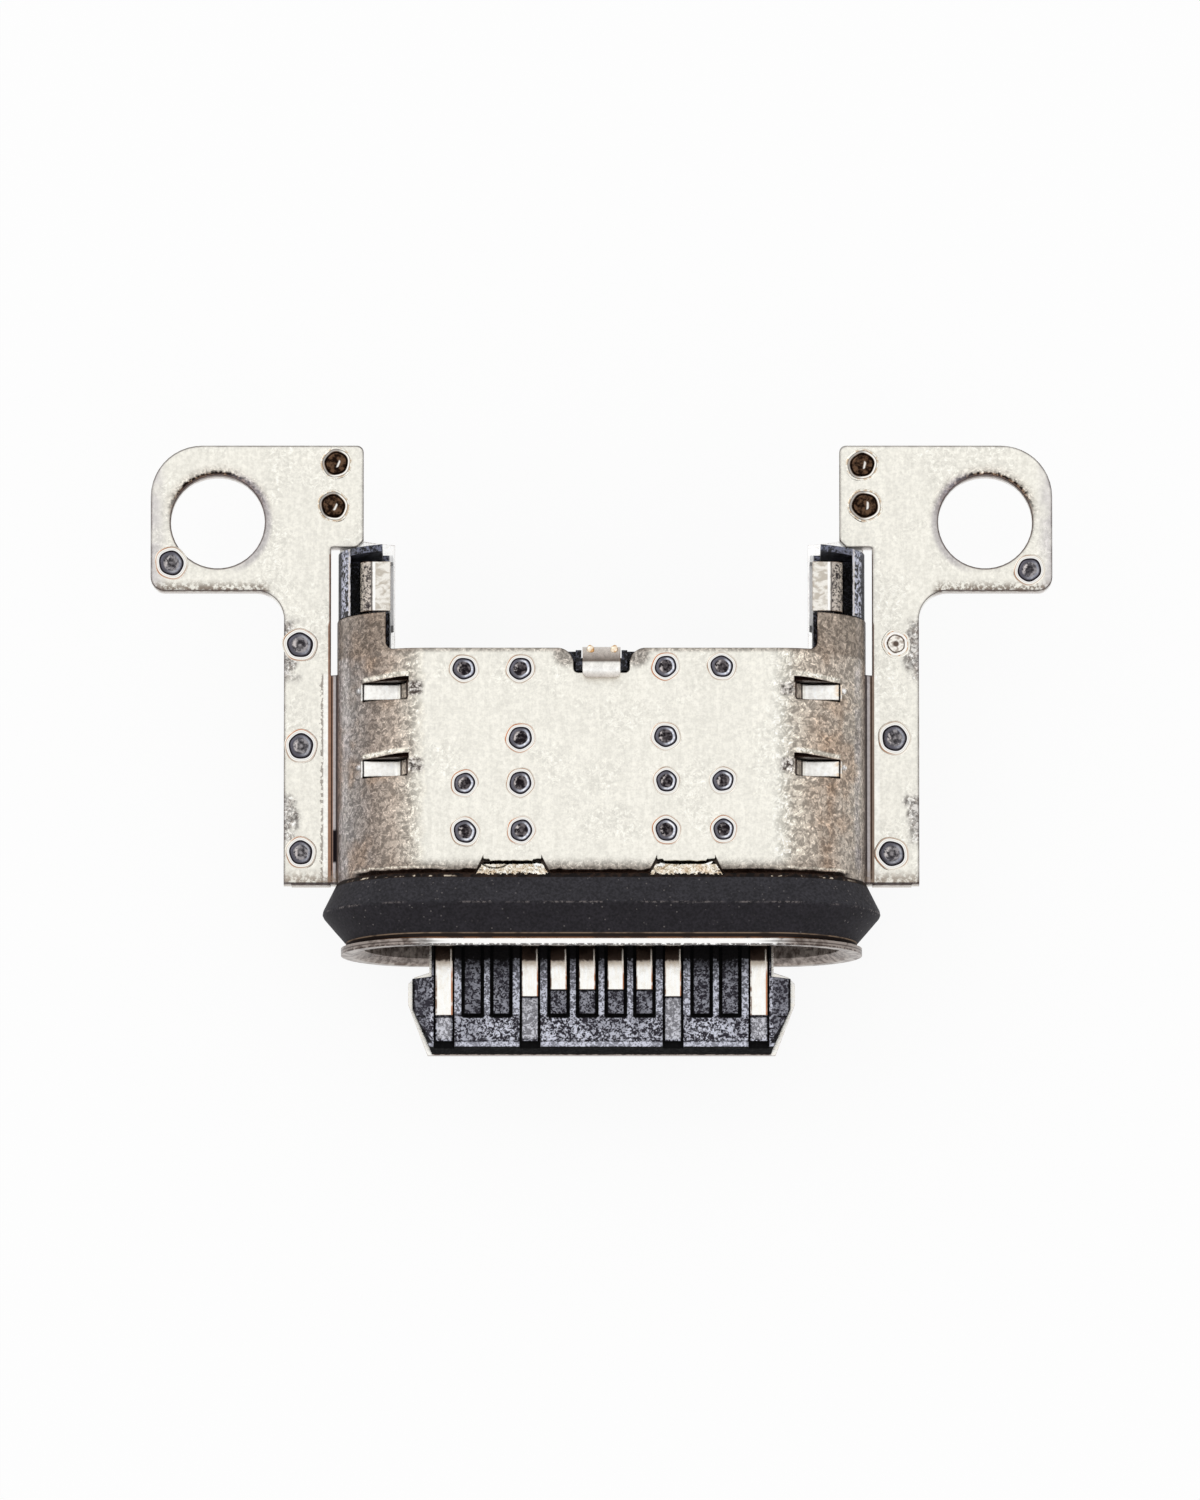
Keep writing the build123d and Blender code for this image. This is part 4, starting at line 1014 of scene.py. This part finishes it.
def round_bodies(places, profile, segments, seed, sway=0.03):
    """Bodies of revolution, one on each place, closed at both poles.

    A point lies at its radius times the cosine and sine of its angle from the place, and
    its radius swells and shrinks a little with twice and five times the angle. The profile
    lists (radius, height) from the top pole out, round and back to the bottom pole, and
    each place is (x, y, z, size), where size multiplies both. The numbers that go with the
    points are the share of the full radius, that share times the cosine of the angle from
    the lower right, and the cosine itself."""
    places = np.asarray(places, dtype=float)
    profile = np.asarray(profile, dtype=float)
    rng = np.random.default_rng(seed)
    count, rings = len(places), len(profile) - 2
    angle = np.linspace(0, TURN, segments, endpoint=False)
    phase = rng.uniform(0, TURN, (2, count, 1, 1))
    swell = 1 + sway * (np.sin(2 * angle + phase[0]) + 0.7 * np.sin(5 * angle + phase[1]))
    size = places[:, 3, None, None]
    radius = profile[None, 1:-1, 0, None] * swell * size
    height = np.broadcast_to(profile[None, 1:-1, 1, None] * size, radius.shape)
    body = np.stack([radius * np.cos(angle), radius * np.sin(angle), height], -1)
    body = body.reshape(count, rings * segments, 3)
    poles = np.zeros((count, 2, 3))
    poles[:, :, 2] = profile[[0, -1], 1] * size[:, 0]
    points = np.concatenate([body, poles], 1) + places[:, None, :3]
    step = np.arange(segments)
    after = (step + 1) % segments
    row = np.arange(rings - 1)[:, None] * segments
    sides = np.stack([row + step, row + segments + step, row + segments + after, row + after], -1)
    top, bottom, last = rings * segments, rings * segments + 1, (rings - 1) * segments
    caps = np.concatenate([
        np.stack([np.full(segments, top), step, after], -1),
        np.stack([np.full(segments, bottom), last + after, last + step], -1),
    ])
    start = np.arange(count) * (rings * segments + 2)
    faces = (sides.reshape(1, -1, 4) + start[:, None, None]).reshape(-1, 4).tolist()
    faces += (caps[None] + start[:, None, None]).reshape(-1, 3).tolist()
    share = np.repeat(profile[1:-1, 0], segments) / profile[:, 0].max()
    look = rng.uniform(-0.5, 0.3, (count, 1))
    facing = np.tile(np.cos(angle - look), (1, rings)).reshape(count, -1)
    ends = np.zeros((count, 2))
    numbers = {
        "reach": np.concatenate([np.tile(share, (count, 1)), ends], 1).ravel(),
        "lean": np.concatenate([facing * share, ends], 1).ravel(),
        "turn": np.concatenate([facing, ends], 1).ravel(),
    }
    return points.reshape(-1, 3), faces, numbers


def slab(top, floor_z):
    """A closed body under a grid of points, from its surface straight down to floor_z."""
    rows, columns = top.shape[:2]
    low = top.copy()
    low[..., 2] = floor_z
    points = np.concatenate([top.reshape(-1, 3), low.reshape(-1, 3)])
    index = np.arange(rows * columns).reshape(rows, columns)
    lid = np.stack([index[:-1, :-1], index[1:, :-1], index[1:, 1:], index[:-1, 1:]], -1).reshape(
        -1, 4,
    )
    border = np.concatenate([index[:, 0], index[-1, 1:], index[-2::-1, -1], index[0, -2:0:-1]])
    beyond = np.roll(border, -1)
    under = rows * columns
    walls = np.stack([border + under, beyond + under, beyond, border], -1)
    faces = np.concatenate([lid, lid[:, ::-1] + under, walls])
    return points, faces.tolist()


# A weld's section, (radius, height) in millimetres: dish, ring, rim, collar and skirt
WELD_SECTION = (
    (0.0, 0.008), (0.03, 0.008), (0.06, 0.01), (0.09, 0.015), (0.115, 0.022), (0.135, 0.025),
    (0.155, 0.02), (0.17, 0.009), (0.185, 0.005), (0.196, 0.008), (0.212, 0.01),
    (0.23, 0.008), (0.245, 0.004), (0.262, 0.0012), (0.262, -0.02), (0.0, -0.02),
)


def spot_welds():
    """The burnt spot welds on the roof, the strips and the ears."""
    burnt = weld_metal("weld_spot_burnt", "#262226", "#706a6c", 1.0)
    grey = weld_metal("weld_spot_grey", "#4a484c", "#989496", 0.35)
    groups = (
        ("roof_spot_welds", PLATE_WELDS, ROOF_TOP, 1.0, burnt),
        ("strip_spot_welds", STRIP_WELDS, SHEET, 1.12, grey),
        ("strip_bright_weld", [BRIGHT_WELD], SHEET, 0.95, bright_weld_metal()),
        ("ear_spot_welds", EAR_WELDS, SHEET, 1.12, grey),
        ("ear_scorched_welds", SCORCHED_WELDS, SHEET, 1.12, scorched_metal()),
    )
    for number, (name, centres, level, size, material) in enumerate(groups):
        rng = np.random.default_rng(40 + number)
        places = [(x, y, level, size * rng.uniform(0.96, 1.05)) for x, y in centres]
        points, faces, numbers = round_bodies(places, WELD_SECTION, 40, 60 + number)
        make_piece(name, points, faces, material, numbers)


def notch_beads():
    """Rough bead metal in the two notches of the cover's front edge, and the lip behind each.

    The bead is a grid that narrows from the cover's edge to the notch's floor. Its height is
    highest at the front, falls away at the rear, and a sum of sines roughens it. At one end
    it is melted up, as the exponential of minus the squared distance, and near the other a
    crescent is sunk into it: the points whose distance from a centre is near one radius.
    The lip is a strip whose front runs a little further forward in its middle."""
    rough_metal, lip_finish = bead_metal(), lip_metal()
    across = np.linspace(-1, 1, 110)[:, None]
    inwards = np.linspace(0, 1, 40)[None, :]
    for number, (side, x, end) in enumerate(zip(("left", "right"), NOTCH_PLACES, (1, -1))):
        half = 0.655 - 0.155 * inwards
        px = x + across * half
        py = COVER_FRONT_Y - 0.055 + 0.265 * inwards + 0.0 * across
        rough = ripple(px, py, 0.11, 80 + number) * 0.014
        rough += ripple(px, py, 0.045, 90 + number) * 0.007
        melted = np.exp(-((px - x - end * 0.43) / 0.075) ** 2 - ((py - 1.4) / 0.055) ** 2)
        centre_x, centre_y, bend = x - end * 0.3, 1.5, 0.16
        reach = np.hypot((px - centre_x) * 0.62, py - centre_y)
        sunk = np.clip(1 - np.abs(reach - bend) / 0.016, 0, 1) * (number == 0)
        rear = np.clip((inwards - 0.8) / 0.12, 0, 1)
        front = np.clip(inwards / 0.1, 0, 1)
        pz = SHELL_TOP + 0.1 + 0.085 * front - 0.13 * rear * (1 - melted) + 0.05 * melted
        pz = np.maximum(pz + rough - 0.03 * sunk, SHELL_TOP + 0.004)
        points, faces = slab(np.stack([px, py, pz], -1), SHELL_TOP - 0.02)
        # The painted shade that the sunk number carries: the crescent and the low rear
        shaded = np.clip(sunk + rear * (1 - melted), 0, 1)
        numbers = {"melted": np.tile(melted.ravel(), 2), "sunk": np.tile(shaded.ravel(), 2)}
        make_piece(f"{side}_notch_bead", points, faces, rough_metal, numbers)

        lip_x = x + across * 0.503
        inner = np.clip((0.78 - np.abs(across + 0.04)) / 0.05, 0, 1)
        depth = 0.075 + 0.03 * inner + 0.006 * ripple(lip_x, lip_x * 0, 0.16, 70 + number)
        lip_y = 1.572 + 0.03 * (1 - inwards) - depth * inwards
        lip_z = ROOF_TOP + 0.002 - 0.03 * inwards ** 6 + 0.0 * across
        points, faces = slab(
            np.stack([lip_x + 0.0 * inwards, lip_y, lip_z], -1)[:, ::-1], ROOF_TOP - SHEET + 0.02,
        )
        make_piece(f"{side}_notch_lip", points, faces, lip_finish)


def notch_crescent():
    """The bright crescent over the right bead: a flat body between two arcs.

    Its outer edge is an arc below a centre, and its thickness falls to nothing at both
    ends as the square root of one minus the square of the way along."""
    f = Finish("crescent_bright")
    f.colour = "#fffffd"
    material = f.finish(0.22, metallic=1.0)
    along = np.linspace(-1, 1, 40)[:, None]
    over = np.linspace(0, 1, 8)[None, :]
    angle = -TURN / 4 + 0.16 + along * 0.78
    width = 0.058 * np.sqrt(np.clip(1 - along ** 2, 0, 1)) + 0.004
    radius = 0.255 - width * over
    px = NOTCH_PLACES[1] + 0.265 + radius * np.cos(angle)
    py = 1.605 + radius * np.sin(angle)
    pz = SHELL_TOP + 0.165 + 0.012 * np.sin(over * TURN / 2) + 0.0 * along
    points, faces = slab(np.stack([px, py, pz], -1), SHELL_TOP + 0.1)
    make_piece("right_notch_crescent", points, faces, material)


def tab_burrs():
    """Two burrs left by the tool at the rear bend of the crimped tab."""
    f = Finish("burr_gold")
    spots = f.noise(12.0, 2.0)
    f.colour = f.mix(f.span(spots, 0.4, 0.6), "#faecd6", "#ce9e6a")
    material = f.finish(0.24, f.bump(spots, 0.01, 0.6), metallic=1.0)
    section = (
        (0.0, 0.05), (0.03, 0.047), (0.055, 0.034), (0.07, 0.012), (0.072, -0.02), (0.0, -0.02),
    )
    places = [(-0.19, 5.175, TAB_TOP - 0.06, 1.0), (0.22, 5.175, TAB_TOP - 0.06, 1.0)]
    points, faces, _ = round_bodies(places, section, 20, 7, sway=0.08)
    make_piece("tab_burrs", points, faces, material)


def seen_rays(f):
    """1 for rays that show a surface: from the camera, in a gloss or through glass."""
    path = f.node("ShaderNodeLightPath").outputs
    kinds = ("Is Camera Ray", "Is Glossy Ray", "Is Transmission Ray")
    return f.either(*[Value(f, path[kind]) for kind in kinds])


def studio():
    """A pale floor under the port, two large soft lamps and an even white surround."""
    w = Finish("studio_surround", bpy.data.worlds)
    level = w.between(seen_rays(w), 0.84, 1.0)
    surround = w.node("ShaderNodeBackground", Color=(1.0, 1.0, 1.0), Strength=level)
    w.node("ShaderNodeOutputWorld", Surface=surround.outputs[0])
    bpy.context.scene.world = w.owner

    low, reach = cad_box[0][2], 0.6
    mesh = bpy.data.meshes.new("floor")
    corners = [(x * reach, y * reach, low) for x, y in ((-1, -1), (1, -1), (1, 1), (-1, 1))]
    mesh.from_pydata(corners, [], [(0, 1, 2, 3)])
    floor = bpy.data.objects.new("floor", mesh)
    bpy.context.scene.collection.objects.link(floor)
    f = Finish("floor_white")
    diffuse = f.node("ShaderNodeBsdfDiffuse", Color=(0.92, 0.92, 0.92))
    glow = f.node("ShaderNodeEmission", Color=(1.0, 1.0, 1.0), Strength=1.0)
    blend = f.node("ShaderNodeMixShader")
    f.feed(blend.inputs[0], seen_rays(f) * 0.9)
    f.feed(blend.inputs[1], diffuse.outputs[0])
    f.feed(blend.inputs[2], glow.outputs[0])
    f.node("ShaderNodeOutputMaterial", Surface=blend.outputs[0])
    mesh.materials.append(f.owner)

    lamps = (
        ("key_lamp", (-0.24, 0.2, 0.2), 0.28, 0.16),
        ("fill_lamp", (0.26, -0.18, 0.18), 0.26, 0.09),
    )
    for name, place, width, power in lamps:
        data = bpy.data.lights.new(name, "AREA")
        data.size = width
        data.energy = power
        lamp = bpy.data.objects.new(name, data)
        bpy.context.scene.collection.objects.link(lamp)
        lamp.location = place
        away = math.hypot(place[0], place[1])
        lamp.rotation_euler = (math.atan2(away, place[2]), 0, math.atan2(place[0], -place[1]))


photo_camera()
dress_nodes()
spot_welds()
notch_beads()
notch_crescent()
tab_burrs()
studio()
bpy.context.scene.view_settings.view_transform = "Standard"
